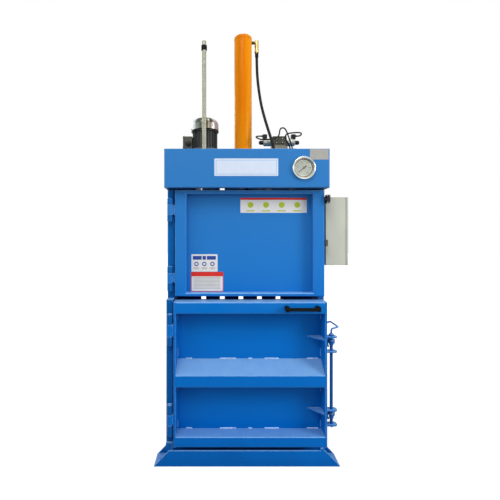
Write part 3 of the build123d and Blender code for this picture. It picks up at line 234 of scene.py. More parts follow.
# The two leads of the valve's coils: each leaves its plug, makes a loop and goes down through a gland in the
# deck. Soft cable in a black PVC sheath, 9 mm across, with a faint sheen.
sheath, tree, surface = fresh("black_pvc_sheath")
surface.inputs["Roughness"].default_value = 0.5
surface.inputs["IOR"].default_value = 1.53
surface.inputs["Specular IOR Level"].default_value = 0.15
where = add(tree, "TexCoord")
scuff = add(tree, "TexNoise", {"Vector": where.outputs["Object"], "Scale": 1000 / 20, "Detail": 4.0})
tone = add(tree, "Mix", {
    0: scuff.outputs["Fac"], 6: linear("#060607"), 7: linear("#101112"),
}, data_type="RGBA")
tree.links.new(tone.outputs[2], surface.inputs["Base Color"])

left_lead_points = [
    (116, -30, 1932), (101, -30, 1932), (86, -36, 1929), (79, -49, 1922), (82, -64, 1913), (94, -74, 1904),
    (112, -78, 1898), (142, -79, 1896), (174, -77, 1900), (201, -76, 1908), (219, -75, 1917),
    (226, -75, 1936), (228, -75, 1958), (235, -75, 1970), (247, -75, 1974), (259, -75, 1970),
    (268, -76, 1958), (277, -80, 1932), (286, -86, 1904), (295, -93, 1872), (304, -99, 1836),
    (311, -104, 1796), (314, -106, 1752), (314, -106, 1718),
]
left_lead = cord_line("left_lead_line", left_lead_points, 0.009, sheath)
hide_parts("left_lead")

right_lead_points = [
    (344, -30, 1932), (358, -30, 1932), (369, -37, 1935), (372, -50, 1940), (366, -64, 1943),
    (352, -72, 1944), (330, -75, 1943), (306, -75, 1941), (284, -71, 1939), (268, -70, 1931),
    (263, -71, 1914), (270, -75, 1893), (283, -81, 1867), (293, -88, 1838), (297, -92, 1800),
    (295, -94, 1758), (295, -94, 1718),
]
right_lead = cord_line("right_lead_line", right_lead_points, 0.009, sheath)
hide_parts("right_lead")


# Welded body: feet, floor, walls, beam, deck, tank and doors in 5 to 12 mm steel plate, sprayed with one coat
# of machine enamel. It is painted lighter towards the top as painted light; its upward faces are painted
# paler, partly dust and partly painted top light, and its edges and front folds pale, partly wear and partly
# painted highlight.
def coat(material, *names):
    """Gives CAD nodes their finish."""
    for name in names:
        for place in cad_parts[name].material_slots:
            place.material = material


blue, tree, surface = fresh("blue_machine_enamel")
surface.inputs["IOR"].default_value = 1.5
surface.inputs["Specular IOR Level"].default_value = 0.06
where = add(tree, "TexCoord")
spot = add(tree, "SeparateXYZ", {0: where.outputs["Object"]})
cloud = add(tree, "TexNoise", {"Vector": where.outputs["Object"], "Scale": 1000 / 300, "Detail": 3.0})
drift = add(tree, "Math", {0: cloud.outputs["Fac"], 1: 0.3, 2: spot.outputs["Z"]}, operation="MULTIPLY_ADD")
# Painted light: the enamel's tone is painted lighter and greyer towards the top, broken by a slow cloud.
painted_height_light = add(tree, "MapRange", {"Value": drift.outputs[0], "From Min": 0.15, "From Max": 2.15})
tone = add(tree, "ValToRGB", {0: painted_height_light.outputs[0]})
for step, code in (
    (0.0, "#0056A4"), (0.07, "#0062B6"), (0.42, "#0468BC"), (0.56, "#2270BC"), (0.84, "#3071B0"),
):
    made = tone.color_ramp.elements.new(step) if step else tone.color_ramp.elements[0]
    made.color = linear(code)
tone.color_ramp.elements[-1].color = linear("#3673AF")
faced = add(tree, "NewGeometry")
way = add(tree, "SeparateXYZ", {0: faced.outputs["Normal"]})
# Faces that look up are painted paler blue, less so near the floor: partly dust, partly painted top light.
ledge = add(tree, "MapRange", {"Value": way.outputs["Z"], "From Min": 0.35, "From Max": 0.85, "To Max": 1.0})
fall = add(tree, "TexNoise", {
    "Vector": where.outputs["Object"], "Scale": 1000 / 60, "Detail": 5.0, "Roughness": 0.6,
})
film = add(tree, "MapRange", {
    "Value": fall.outputs["Fac"], "From Min": 0.3, "From Max": 0.7, "To Min": 0.8, "To Max": 1.0,
})
settled = add(tree, "MapRange", {
    "Value": spot.outputs["Z"], "From Min": 0.15, "From Max": 0.5, "To Min": 0.62, "To Max": 1.0,
})
thick = add(tree, "Math", {0: film.outputs[0], 1: settled.outputs[0]}, operation="MULTIPLY")
dust_and_top_light = add(tree, "Math", {0: ledge.outputs[0], 1: thick.outputs[0]}, operation="MULTIPLY")
dust_and_top_lit = add(tree, "Mix", {0: dust_and_top_light.outputs[0], 6: tone.outputs[0], 7: linear("#6C98C6")}, data_type="RGBA")
# Edges, and folds that face the front, are painted pale, broken by noise: partly edge wear, partly painted
# highlight.
rounded = add(tree, "Bevel", {"Radius": 0.004}, samples=4)
match = add(tree, "VectorMath", {0: rounded.outputs[0], 1: faced.outputs["Normal"]}, operation="DOT_PRODUCT")
edge = add(tree, "MapRange", {
    "Value": match.outputs["Value"], "From Min": 0.998, "From Max": 0.93, "To Max": 1.0,
})
wear_and_glint = add(tree, "TexNoise", {
    "Vector": where.outputs["Object"], "Scale": 1000 / 18, "Detail": 5.0, "Roughness": 0.6,
})
rolled = add(tree, "MapRange", {"Value": way.outputs["Z"], "From Min": 0.12, "From Max": 0.3, "To Max": 1.0})
front = add(tree, "MapRange", {
    "Value": way.outputs["Y"], "From Min": -0.72, "From Max": -0.86, "To Max": 1.0,
})
front_fold_highlight = add(tree, "Math", {0: rolled.outputs[0], 1: front.outputs[0]}, operation="MULTIPLY")
edge_wear_and_highlight = add(tree, "Math", {0: edge.outputs[0], 1: front_fold_highlight.outputs[0]}, operation="MAXIMUM")
wear_and_highlight = add(tree, "Math", {0: edge_wear_and_highlight.outputs[0], 1: wear_and_glint.outputs["Fac"]}, operation="MULTIPLY")
lit = add(tree, "Mix", {0: wear_and_highlight.outputs[0], 6: dust_and_top_lit.outputs[2], 7: linear("#9CC8F2")}, data_type="RGBA")
sweat = add(tree, "TexNoise", {"Vector": where.outputs["Object"], "Scale": 1000 / 70, "Detail": 4.0})
gloss = add(tree, "MapRange", {
    "Value": sweat.outputs["Fac"], "From Min": 0.3, "From Max": 0.7, "To Min": 0.28, "To Max": 0.4,
})
peel = add(tree, "TexNoise", {"Vector": where.outputs["Object"], "Scale": 1000 / 4, "Detail": 1.0})
bump = add(tree, "Bump", {
    "Strength": 0.12, "Distance": 0.0002, "Height": peel.outputs["Fac"], "Normal": rounded.outputs[0],
})
tree.links.new(lit.outputs[2], surface.inputs["Base Color"])
tree.links.new(gloss.outputs[0], surface.inputs["Roughness"])
tree.links.new(bump.outputs[0], surface.inputs["Normal"])
coat(
    blue, "front_foot", "rear_foot", "chamber_floor", "left_wall", "right_wall", "rear_wall", "front_beam",
    "deck_plate", "front_fascia", "platen", "oil_tank", "valve_stand", "lower_door_frame", "lower_door_panel",
    "upper_door_frame", "upper_door_panel",
)


# Hinge post, knuckles, pins, keepers and latch: turned and flame-cut steel that was welded on last. It has
# the same enamel with darker, richer stops, a painted shade that makes these parts look shaded beside the
# sheets.
shaded_blue = blue.copy()
shaded_blue.name = "blue_enamel_with_painted_shade"
shaded_stops = shaded_blue.node_tree.nodes[tone.name].color_ramp.elements
for stop, code in zip(shaded_stops, ("#004C90", "#004E94", "#005298", "#04589E", "#0A5CA4", "#0C5EA6")):
    stop.color = linear(code)
coat(shaded_blue, "hinge_post", "frame_knuckles", "hinge_pins", "latch_keepers", "latch_shaft", "latch_handle")


# Weld beads: short stitches that hold the lower door's rails to its sheet and the ribs to the rear wall, and
# the seams of the feet and the post. Each is laid in ripples about 4 mm apart, and near-white patches are
# painted on its enamel as a painted highlight.
def weld(shape, start, end, r):
    """Row of ripples from one point to another, in millimetres; each ripple leans on the one before it."""
    random.seed(int(abs(start[0]) + abs(end[2]) * 3 + r * 7))
    start, end = Vector(start) / 1000, Vector(end) / 1000
    way = end - start
    count = max(3, round(way.length / 0.0042))
    turn = way.to_track_quat("X", "Z").to_matrix().to_4x4()
    for i in range(count):
        at = start + way * (i + 0.5) / count
        size = Vector((0.0034, r / 1000, r / 1000)) * random.uniform(0.88, 1.08)
        bmesh.ops.create_icosphere(shape, subdivisions=2, radius=1.0,
                                   matrix=Matrix.Translation(at) @ turn @ Matrix.Diagonal((*size, 1)))


painted, tree, surface = fresh("enamel_with_painted_highlight_on_weld_beads")
surface.inputs["Roughness"].default_value = 0.35
where = add(tree, "TexCoord")
wear_and_glint = add(tree, "TexNoise", {"Vector": where.outputs["Object"], "Scale": 1000 / 9, "Detail": 3.0})
# Painted highlight: the bead enamel is patched with near-white.
tone = add(tree, "Mix", {0: wear_and_glint.outputs["Fac"], 6: linear("#3C80C4"), 7: linear("#D8ECFF")}, data_type="RGBA")
tree.links.new(tone.outputs[2], surface.inputs["Base Color"])
sheet_y = -260.5    # where the lower door's rails meet its sheet
rear_y = 308.5      # the rear wall's outer face
beads = bmesh.new()
for x0, x1 in ((-351, -316), (-152, -58), (14, 36), (109, 191), (357, 421)):
    for z in (571, 163):
        weld(beads, (x0, sheet_y, z), (x1, sheet_y, z), 4.5)
for x0, x1 in ((-330, -240), (-40, 60), (250, 340)):
    for z in (850, 436):
        weld(beads, (x0, sheet_y, z), (x1, sheet_y, z), 4.0)
make_piece("lower_door_welds", beads, (painted,), "lower_door")

uprights = bmesh.new()
for x in (-399.5, 437.5):
    for z0, z1 in ((170, 210), (380, 425), (585, 630), (800, 845)):
        weld(uprights, (x, sheet_y, z0), (x, sheet_y, z1), 4.0)
for z in (284.5, 704.5):
    weld(uprights, (372, -262, z), (436, -262, z), 3.2)
make_piece("lower_door_upright_welds", uprights, (blue,), "lower_door")

seams = bmesh.new()
for x0, x1 in ((-430, -340), (-60, 60), (340, 430)):
    weld(seams, (x0, -250.5, 90), (x1, -250.5, 90), 3.5)
    weld(seams, (x0, rear_y, 90), (x1, rear_y, 90), 4.0)
for z0, z1 in ((140, 200), (420, 500), (720, 800), (1000, 1060), (1300, 1360)):
    weld(seams, (-455.5, -250, z0), (-455.5, -250, z1), 3.5)
for x in (-451, 451):
    for z0, z1 in ((120, 220), (520, 640), (900, 1020), (1300, 1420), (1580, 1680)):
        weld(seams, (x, rear_y, z0), (x, rear_y, z1), 4.0)
make_piece("body_welds", seams, (painted,), "root")

stitches = bmesh.new()
for middle in (-276, -138, 0, 138, 276):
    for x in (middle - 38.5, middle + 38.5):
        for z in (200, 720, 1240):
            weld(stitches, (x, rear_y, z), (x, rear_y, z + 50), 3.0)
make_piece("rear_rib_welds", stitches, (painted,), "root")


# Labels on the feed door and plates on the fascia: printed vinyl film with rounded corners, stuck on the
# enamel. They are plain fields of colour, and each ink stands a little proud of the film under it.
def field(shape, x0, x1, z0, z1, face_y, lift, tint, r=2.0):
    """Rounded rectangle that stands proud of a face that looks to -Y, in millimetres."""
    ring = []
    middles = ((x1 - r, z1 - r, 0), (x0 + r, z1 - r, 90), (x0 + r, z0 + r, 180), (x1 - r, z0 + r, 270))
    for cx, cz, start in middles:
        for step in range(6):
            a = math.radians(start + step * 18)
            ring.append((cx + r * math.cos(a), cz + r * math.sin(a)))
    front = [shape.verts.new((x / 1000, (face_y - lift) / 1000, z / 1000)) for x, z in ring]
    back = [shape.verts.new((x / 1000, face_y / 1000, z / 1000)) for x, z in ring]
    faces = [shape.faces.new(front), shape.faces.new(list(reversed(back)))]
    for i in range(len(ring)):
        j = (i + 1) % len(ring)
        faces.append(shape.faces.new((front[j], front[i], back[i], back[j])))
    for face in faces:
        face.material_index = tint


white, red, lime, deep_blue, grey, pale_blue, sky_white = range(7)    # places in the list of vinyls
vinyls = []
for name, low, high in (
    ("white_vinyl_film", "#CACACC", "#D6D6D8"),
    ("red_printed_vinyl", "#BE2620", "#CC3228"),
    ("lime_printed_vinyl", "#93A41E", "#AEBE34"),
    ("blue_printed_vinyl", "#1E3680", "#2C4A98"),
    ("grey_printed_vinyl", "#92928E", "#9E9E9A"),
    ("pale_blue_printed_vinyl", "#8FAFD2", "#9DBBDC"),
    ("sky_white_printed_vinyl", "#BCC8DA", "#C8D2E2"),
):
    vinyl, tree, surface = fresh(name)
    surface.inputs["Roughness"].default_value = 0.42
    surface.inputs["Specular IOR Level"].default_value = 0.2
    where = add(tree, "TexCoord")
    stain = add(tree, "TexNoise", {"Vector": where.outputs["Object"], "Scale": 1000 / 40, "Detail": 4.0})
    tone = add(tree, "Mix", {0: stain.outputs["Fac"], 6: linear(low), 7: linear(high)}, data_type="RGBA")
    dimple = add(tree, "TexNoise", {"Vector": where.outputs["Object"], "Scale": 1000 / 25, "Detail": 1.0})
    bump = add(tree, "Bump", {"Strength": 0.2, "Distance": 0.0003, "Height": dimple.outputs["Fac"]})
    tree.links.new(tone.outputs[2], surface.inputs["Base Color"])
    tree.links.new(bump.outputs[0], surface.inputs["Normal"])
    vinyls.append(vinyl)

enamel_y = -257.0       # the feed door's sheet
film_y = -257.3         # front of the film on it
ink_y = -257.45         # front of the first ink
film_t, ink_t, top_ink_t, plate_t = 0.3, 0.15, 0.1, 0.4
labels = bmesh.new()
field(labels, -32, 357, 1422.8, 1510.7, enamel_y, film_t, white, 3.0)
field(labels, -32, 357, 1498.4, 1510.7, film_y, ink_t, red, 3.0)
for x in (27, 118.4, 209.8, 300.6):
    field(labels, x - 17, x + 17, 1452, 1486, film_y, ink_t, lime, 16.9)
    field(labels, x - 25, x + 25, 1431, 1438, film_y, ink_t, lime)
field(labels, -319, -166, 1078, 1180, enamel_y, film_t, white, 3.0)
for x0, x1 in ((-311, -259), (-254, -234), (-229, -176)):
    field(labels, x0, x1, 1148, 1170, film_y, ink_t, deep_blue)
for x in (-290, -243.7, -196.3):
    field(labels, x - 13, x + 13, 1110, 1136, film_y, ink_t, deep_blue, 12.9)
    field(labels, x - 7, x + 7, 1116, 1130, ink_y, top_ink_t, white, 6.9)
    for z in (1099, 1092):
        field(labels, x - 16, x + 16, z, z + 3.5, film_y, ink_t, grey, 1.0)
field(labels, -321.6, -132.4, 961.5, 1076.5, enamel_y, film_t, red, 3.0)
field(labels, -318, -136, 965, 1050, film_y, ink_t, white, 1.5)
for z in range(978, 1044, 8):
    field(labels, -306, -150, z, z + 3, ink_y, top_ink_t, grey, 1.0)
make_piece("feed_door_labels", labels, vinyls, "upper_door")

fascia_y = -350.0
plates = bmesh.new()
field(plates, -183, 175, 1625, 1723, fascia_y, plate_t, sky_white, 3.0)
field(plates, -175, 167, 1633, 1715, fascia_y - plate_t, ink_t, pale_blue, 2.0)
field(plates, -171, 163, 1637, 1711, fascia_y - plate_t - ink_t, ink_t, sky_white, 2.0)
field(plates, 353, 457, 1717, 1776, fascia_y, plate_t, grey, 1.5)
make_piece("fascia_plates", plates, vinyls, "root")


# Bent pipes from the tank to the valve, the cans of the two coils and the switch's plunger: steel with bright
# zinc plating, mirror-like in places and dulled in others where hands and oil have been.
steel, tree, surface = fresh("bright_zinc_plated_steel")
surface.inputs["Metallic"].default_value = 1.0
where = add(tree, "TexCoord")
smear = add(tree, "TexNoise", {"Vector": where.outputs["Object"], "Scale": 1000 / 12, "Detail": 4.0})
tone = add(tree, "Mix", {
    0: smear.outputs["Fac"], 6: linear("#8E908C"), 7: linear("#BDBFB9"),
}, data_type="RGBA")
gloss = add(tree, "MapRange", {"Value": smear.outputs["Fac"], "To Min": 0.22, "To Max": 0.42})
tree.links.new(tone.outputs[2], surface.inputs["Base Color"])
tree.links.new(gloss.outputs[0], surface.inputs["Roughness"])
coat(steel, "steel_pipes", "solenoid_coils", "limit_plunger")


# Manifold under the valve: a block of machined steel on the stand. Oil has browned it, so it is warm and
# patchy and only half as bright as the pipes.
iron, tree, surface = fresh("oil_browned_steel")
surface.inputs["Metallic"].default_value = 0.7
where = add(tree, "TexCoord")
patch = add(tree, "TexNoise", {"Vector": where.outputs["Object"], "Scale": 1000 / 16, "Detail": 5.0})
tone = add(tree, "Mix", {
    0: patch.outputs["Fac"], 6: linear("#5C564B"), 7: linear("#8C8577"),
}, data_type="RGBA")
gloss = add(tree, "MapRange", {"Value": patch.outputs["Fac"], "To Min": 0.35, "To Max": 0.6})
tree.links.new(tone.outputs[2], surface.inputs["Base Color"])
tree.links.new(gloss.outputs[0], surface.inputs["Roughness"])
coat(iron, "manifold")


# Pull handle on the lower door, clamp collar on the stroke rod and the gauge's pointer: steel in black stove
# enamel, half matt, with a faint grain that catches the top light.
black, tree, surface = fresh("black_stove_enamel")
surface.inputs["Roughness"].default_value = 0.42
surface.inputs["Specular IOR Level"].default_value = 0.08
where = add(tree, "TexCoord")
grain = add(tree, "TexNoise", {"Vector": where.outputs["Object"], "Scale": 1000 / 3, "Detail": 2.0})
tone = add(tree, "Mix", {
    0: grain.outputs["Fac"], 6: linear("#050505"), 7: linear("#0D0D0B"),
}, data_type="RGBA")
bump = add(tree, "Bump", {"Strength": 0.3, "Distance": 0.0002, "Height": grain.outputs["Fac"]})
tree.links.new(tone.outputs[2], surface.inputs["Base Color"])
tree.links.new(bump.outputs[0], surface.inputs["Normal"])
coat(black, "door_handle", "stroke_collar", "gauge_pointer")


# Hydraulic cylinder: seamless tube, welded cap and bolted flange in orange enamel, with a weld fillet at each
# end of the tube and faint runs where the coat went on thick. Its flanks and its foot are painted paler as
# painted light.
orange, tree, surface = fresh("orange_gloss_enamel")
surface.inputs["IOR"].default_value = 1.5
surface.inputs["Specular IOR Level"].default_value = 0.06
where = add(tree, "TexCoord")
tall = add(tree, "Mapping", {"Vector": where.outputs["Object"], "Scale": (1.0, 1.0, 0.06)})
run = add(tree, "TexNoise", {"Vector": tall.outputs[0], "Scale": 1000 / 22, "Detail": 3.0})
thick = add(tree, "Mix", {
    0: run.outputs["Fac"], 6: linear("#B85A00"), 7: linear("#D67C00"),
}, data_type="RGBA")
faced = add(tree, "NewGeometry")
way = add(tree, "SeparateXYZ", {0: faced.outputs["Normal"]})
# Painted light: faces turned to either side, and the tube towards its foot, are painted paler orange.
right_flank_light = add(tree, "MapRange", {"Value": way.outputs["X"], "From Min": 0.1, "From Max": 0.95, "To Max": 0.8})
left_flank_light = add(tree, "MapRange", {"Value": way.outputs["X"], "From Min": -0.5, "From Max": -1.0, "To Max": 0.7})
side_light = add(tree, "Math", {0: right_flank_light.outputs[0], 1: left_flank_light.outputs[0]}, operation="MAXIMUM")
spot = add(tree, "SeparateXYZ", {0: where.outputs["Object"]})
low = add(tree, "MapRange", {"Value": spot.outputs["Z"], "From Min": 2.15, "From Max": 1.75, "To Max": 0.6})
pale = add(tree, "Math", {0: side_light.outputs[0], 1: low.outputs[0]}, operation="MAXIMUM")
tone = add(tree, "Mix", {0: pale.outputs[0], 6: thick.outputs[2], 7: linear("#E0930E")}, data_type="RGBA")
gloss = add(tree, "MapRange", {"Value": run.outputs["Fac"], "To Min": 0.16, "To Max": 0.3})
bump = add(tree, "Bump", {"Strength": 0.2, "Distance": 0.0004, "Height": run.outputs["Fac"]})
tree.links.new(tone.outputs[2], surface.inputs["Base Color"])
tree.links.new(gloss.outputs[0], surface.inputs["Roughness"])
tree.links.new(bump.outputs[0], surface.inputs["Normal"])
coat(orange, "cylinder_barrel", "cylinder_cap", "cylinder_gland")

foot_fillet = ((0.0, 57.5), (0.0, 64.0), (3.0, 62.5), (6.5, 58.4), (7.0, 57.5))
cap_bead = ((0.0, 57.5), (0.5, 58.6), (3.0, 59.4), (5.5, 58.6), (6.0, 57.5))
ram_x, ram_y = 0, 25
rings = bmesh.new()
turned(rings, (ram_x, ram_y, 1726), (0, 0, 1), foot_fillet, 96)
turned(rings, (ram_x, ram_y, 2577), (0, 0, 1), cap_bead, 96)
make_piece("cylinder_welds", rings, (orange,), "root")


# Piston rod and gauge case: hard chrome on ground steel, with a hair-fine grind round it, drawn coarser to
# show. The gauge's rim is pressed and polished sheet, with warm and cool, bright and dark tones painted round
# it by turns as painted reflections.
chrome, tree, surface = fresh("ground_hard_chrome")
surface.inputs["Metallic"].default_value = 1.0
where = add(tree, "TexCoord")
ring = add(tree, "Mapping", {"Vector": where.outputs["Object"], "Scale": (1.0, 1.0, 300.0)})
grind = add(tree, "TexNoise", {"Vector": ring.outputs[0], "Scale": 8.0, "Detail": 3.0})
tone = add(tree, "Mix", {
    0: grind.outputs["Fac"], 6: linear("#B0B3B6"), 7: linear("#CACDCF"),
}, data_type="RGBA")
gloss = add(tree, "MapRange", {"Value": grind.outputs["Fac"], "To Min": 0.08, "To Max": 0.2})
tree.links.new(tone.outputs[2], surface.inputs["Base Color"])
tree.links.new(gloss.outputs[0], surface.inputs["Roughness"])
coat(chrome, "piston_rod", "gauge_case")

rim, tree, surface = fresh("polished_steel_rim_with_painted_reflections")
surface.inputs["Metallic"].default_value = 1.0
surface.inputs["Roughness"].default_value = 0.14
where = add(tree, "TexCoord")
gauge_x, gauge_z = 319, 1670
centred = add(tree, "Mapping", {
    "Vector": where.outputs["Object"], "Location": (-gauge_x / 1000, -gauge_z / 1000, 0.0),
    "Rotation": (math.radians(-90), 0.0, 0.0),
})
# Painted reflections: tones are painted by angle round the gauge's centre.
reflection_angle = add(tree, "TexGradient", {"Vector": centred.outputs[0]}, gradient_type="RADIAL")
tone = add(tree, "ValToRGB", {0: reflection_angle.outputs["Fac"]})
for step, code in (
    (0.0, "#D4D8D8"), (0.12, "#B4B8B2"), (0.22, "#DADCD6"), (0.36, "#C6C2B0"),
    (0.48, "#D8DAD8"), (0.6, "#AEB2B0"), (0.7, "#D2D6D8"), (0.86, "#C2BEAE"),
):
    made = tone.color_ramp.elements.new(step) if step else tone.color_ramp.elements[0]
    made.color = linear(code)
tone.color_ramp.elements[-1].color = linear("#D4D8D8")
tree.links.new(tone.outputs[0], surface.inputs["Base Color"])
coat(rim, "gauge_bezel")


# Stroke rod that shows how far the platen has gone: drawn steel tube, dipped in zinc. It is a warm light grey
# with the soft mottle of zinc crystals about 9 mm across.
zinc, tree, surface = fresh("galvanised_tube")
surface.inputs["Metallic"].default_value = 0.3
surface.inputs["Roughness"].default_value = 0.4
where = add(tree, "TexCoord")
cell = add(tree, "TexVoronoi", {"Vector": where.outputs["Object"], "Scale": 1000 / 9})
tone = add(tree, "Mix", {
    0: cell.outputs["Color"], 6: linear("#808270"), 7: linear("#989986"),
}, data_type="RGBA")
tree.links.new(tone.outputs[2], surface.inputs["Base Color"])
coat(zinc, "stroke_rod")


# Hose elbow, tail fitting and the stroke rod's bush: turned brass, a little dull where hands have been. The
# elbow sits on a dark steel stub, and hexagon nuts in the same brass lock both ends of the hose.
brass, tree, surface = fresh("turned_brass")
surface.inputs["Metallic"].default_value = 1.0
where = add(tree, "TexCoord")
spot = add(tree, "SeparateXYZ", {0: where.outputs["Object"]})
dull = add(tree, "TexNoise", {"Vector": where.outputs["Object"], "Scale": 1000 / 8, "Detail": 4.0})
tone = add(tree, "Mix", {
    0: dull.outputs["Fac"], 6: linear("#9C8440"), 7: linear("#D8C684"),
}, data_type="RGBA")
stub_end = add(tree, "Math", {0: spot.outputs["X"], 1: 0.0786}, operation="LESS_THAN")
stub_start = add(tree, "Math", {0: spot.outputs["X"], 1: 0.04}, operation="GREATER_THAN")
stub = add(tree, "Math", {0: stub_end.outputs[0], 1: stub_start.outputs[0]}, operation="MULTIPLY")
metal = add(tree, "Mix", {0: stub.outputs[0], 6: tone.outputs[2], 7: linear("#4A3C22")}, data_type="RGBA")
gloss = add(tree, "MapRange", {"Value": dull.outputs["Fac"], "To Min": 0.22, "To Max": 0.42})
tree.links.new(metal.outputs[2], surface.inputs["Base Color"])
tree.links.new(gloss.outputs[0], surface.inputs["Roughness"])
coat(brass, "hose_fittings", "rod_bush")

nuts = bmesh.new()
for z, h in ((2498, 15), (2538, 9)):
    chamfered = ((0.0, 13.4), (1.0, 14.6), (h - 1.0, 14.6), (h, 13.4))
    turned(nuts, (*hose_points[0][:2], z), (0, 0, 1), chamfered, 6)
turned(nuts, (*hose_points[-1][:2], 1762), (0, 0, 1), ((0.0, 12.6), (0.0, 13.6), (7.0, 13.6), (8.0, 12.6)), 6)
make_piece("elbow_nuts", nuts, (brass,), "root")


# Motor: a finned housing of cast iron in dark grey enamel, rough from the sand. Its terminal box, the valve
# and the door's catch are cast too, stained by oil. Small zinc screws hold their lids.
motor_grey, tree, surface = fresh("dark_grey_cast_enamel")
surface.inputs["Roughness"].default_value = 0.5
surface.inputs["Specular IOR Level"].default_value = 0.35
where = add(tree, "TexCoord")
sand = add(tree, "TexNoise", {"Vector": where.outputs["Object"], "Scale": 1000 / 3, "Detail": 4.0})
tone = add(tree, "Mix", {
    0: sand.outputs["Fac"], 6: linear("#1E1F20"), 7: linear("#3C3E3C"),
}, data_type="RGBA")
bump = add(tree, "Bump", {"Strength": 0.5, "Distance": 0.0004, "Height": sand.outputs["Fac"]})
tree.links.new(tone.outputs[2], surface.inputs["Base Color"])
tree.links.new(bump.outputs[0], surface.inputs["Normal"])
coat(motor_grey, "motor_body")

stained, tree, surface = fresh("oil_stained_grey_casting")
surface.inputs["Roughness"].default_value = 0.5
surface.inputs["Specular IOR Level"].default_value = 0.25
where = add(tree, "TexCoord")
stain = add(tree, "TexNoise", {"Vector": where.outputs["Object"], "Scale": 1000 / 14, "Detail": 5.0})
tone = add(tree, "Mix", {
    0: stain.outputs["Fac"], 6: linear("#2E2D26"), 7: linear("#57554B"),
}, data_type="RGBA")
sand = add(tree, "TexNoise", {"Vector": where.outputs["Object"], "Scale": 1000 / 3, "Detail": 4.0})
bump = add(tree, "Bump", {"Strength": 0.5, "Distance": 0.0004, "Height": sand.outputs["Fac"]})
tree.links.new(tone.outputs[2], surface.inputs["Base Color"])
tree.links.new(bump.outputs[0], surface.inputs["Normal"])
coat(stained, "terminal_box", "valve_block", "door_catch")

screws = bmesh.new()
for y, z in ((14, 1872), (14, 1932), (86, 1872), (86, 1932)):
    turned(screws, (-398, y, z), (-1, 0, 0), ((0.0, 4.2), (1.4, 4.2), (2.2, 3.2)), 6)
for x, z in ((211, 1883), (211, 1909), (249, 1883), (249, 1909)):
    turned(screws, (x, -60, z), (0, -1, 0), ((0.0, 3.0), (1.6, 3.0), (2.0, 2.4)), 24)
for x, z in ((460.5, 1480.5), (460.5, 1518.5), (472.5, 1480.5), (472.5, 1518.5)):
    turned(screws, (x, -320, z), (0, -1, 0), ((0.0, 2.0), (0.8, 2.0), (1.2, 1.4)), 20)
make_piece("small_screws", screws, (steel,), "root")


# Fan cowl: deep-drawn steel sheet, polished in upright strokes, with dark and bright streaks painted round it
# as painted reflections, held by four black screws over a dark rolled rim.
cowl, tree, surface = fresh("polished_drawn_sheet_with_painted_reflections")
surface.inputs["Metallic"].default_value = 1.0
where = add(tree, "TexCoord")
motor_x, motor_y = -254, 50
centred = add(tree, "Mapping", {
    "Vector": where.outputs["Object"], "Location": (-motor_x / 1000, -motor_y / 1000, 0.0),
})
# Painted reflections: dark and bright streaks are painted by angle round the motor's axis.
reflection_angle = add(tree, "TexGradient", {"Vector": centred.outputs[0]}, gradient_type="RADIAL")
stroke = add(tree, "Mapping", {"Vector": where.outputs["Object"], "Scale": (1.0, 1.0, 0.12)})
polish = add(tree, "TexNoise", {"Vector": stroke.outputs[0], "Scale": 1000 / 6, "Detail": 4.0})
shake = add(tree, "MapRange", {"Value": polish.outputs["Fac"], "To Min": -0.02, "To Max": 0.02})
streaked_reflection_angle = add(tree, "Math", {0: reflection_angle.outputs["Fac"], 1: shake.outputs[0]}, operation="ADD")
tone = add(tree, "ValToRGB", {0: streaked_reflection_angle.outputs[0]})
for step, code in (
    (0.0, "#7E8480"), (0.06, "#5A605C"), (0.095, "#D2D8D6"), (0.13, "#BEC6C4"), (0.15, "#5A625E"),
    (0.2, "#484A42"), (0.24, "#76766C"), (0.285, "#4E4A3C"), (0.298, "#A8A28E"), (0.315, "#48443A"),
    (0.345, "#5E585A"), (0.362, "#CED0DC"), (0.405, "#BABCC8"), (0.43, "#868C8A"), (0.5, "#989E9C"),
    (0.6, "#C6CAC8"), (0.65, "#54585A"), (0.76, "#6C706E"), (0.86, "#4E524E"), (0.9, "#CACECC"),
):
    made = tone.color_ramp.elements.new(step) if step else tone.color_ramp.elements[0]
    made.color = linear(code)
tone.color_ramp.elements[-1].color = linear("#7E8480")
gloss = add(tree, "MapRange", {"Value": polish.outputs["Fac"], "To Min": 0.24, "To Max": 0.4})
tree.links.new(tone.outputs[0], surface.inputs["Base Color"])
tree.links.new(gloss.outputs[0], surface.inputs["Roughness"])
coat(cowl, "fan_cowl")

trim = bmesh.new()
rolled_rim = ((0.0, 89.0), (0.0, 91.6), (1.0, 92.2), (5.0, 92.2), (6.5, 91.2), (6.6, 89.0))
turned(trim, (motor_x, motor_y, 1977.5), (0, 0, 1), rolled_rim, 96)
cowl_r = 90.5
screw_head = ((0.0, 4.6), (2.6, 4.4), (3.6, 3.0))
for deg in (-162, -18, 18, 162):
    way = Vector((math.cos(math.radians(deg)), math.sin(math.radians(deg)), 0))
    turned(trim, Vector((motor_x, motor_y, 1990)) + cowl_r * way, way, screw_head, 24)
make_piece("cowl_trim", trim, (black,), "root")


# Black parts moulded in nylon: fan, end nuts, plugs, switch, selector, the blank in the terminal box and the
# knurled grip of the filler cap. They have the fine spark texture of the mould.
nylon, tree, surface = fresh("moulded_black_nylon")
surface.inputs["Roughness"].default_value = 0.5
surface.inputs["Specular IOR Level"].default_value = 0.25
where = add(tree, "TexCoord")
spark = add(tree, "TexNoise", {"Vector": where.outputs["Object"], "Scale": 1000 / 1.5, "Detail": 2.0})
tone = add(tree, "Mix", {
    0: spark.outputs["Fac"], 6: linear("#08080A"), 7: linear("#151517"),
}, data_type="RGBA")
bump = add(tree, "Bump", {"Strength": 0.35, "Distance": 0.0002, "Height": spark.outputs["Fac"]})
tree.links.new(tone.outputs[2], surface.inputs["Base Color"])
tree.links.new(bump.outputs[0], surface.inputs["Normal"])
coat(nylon, "motor_fan", "solenoid_nuts", "coil_plugs", "selector_knob", "limit_switch")

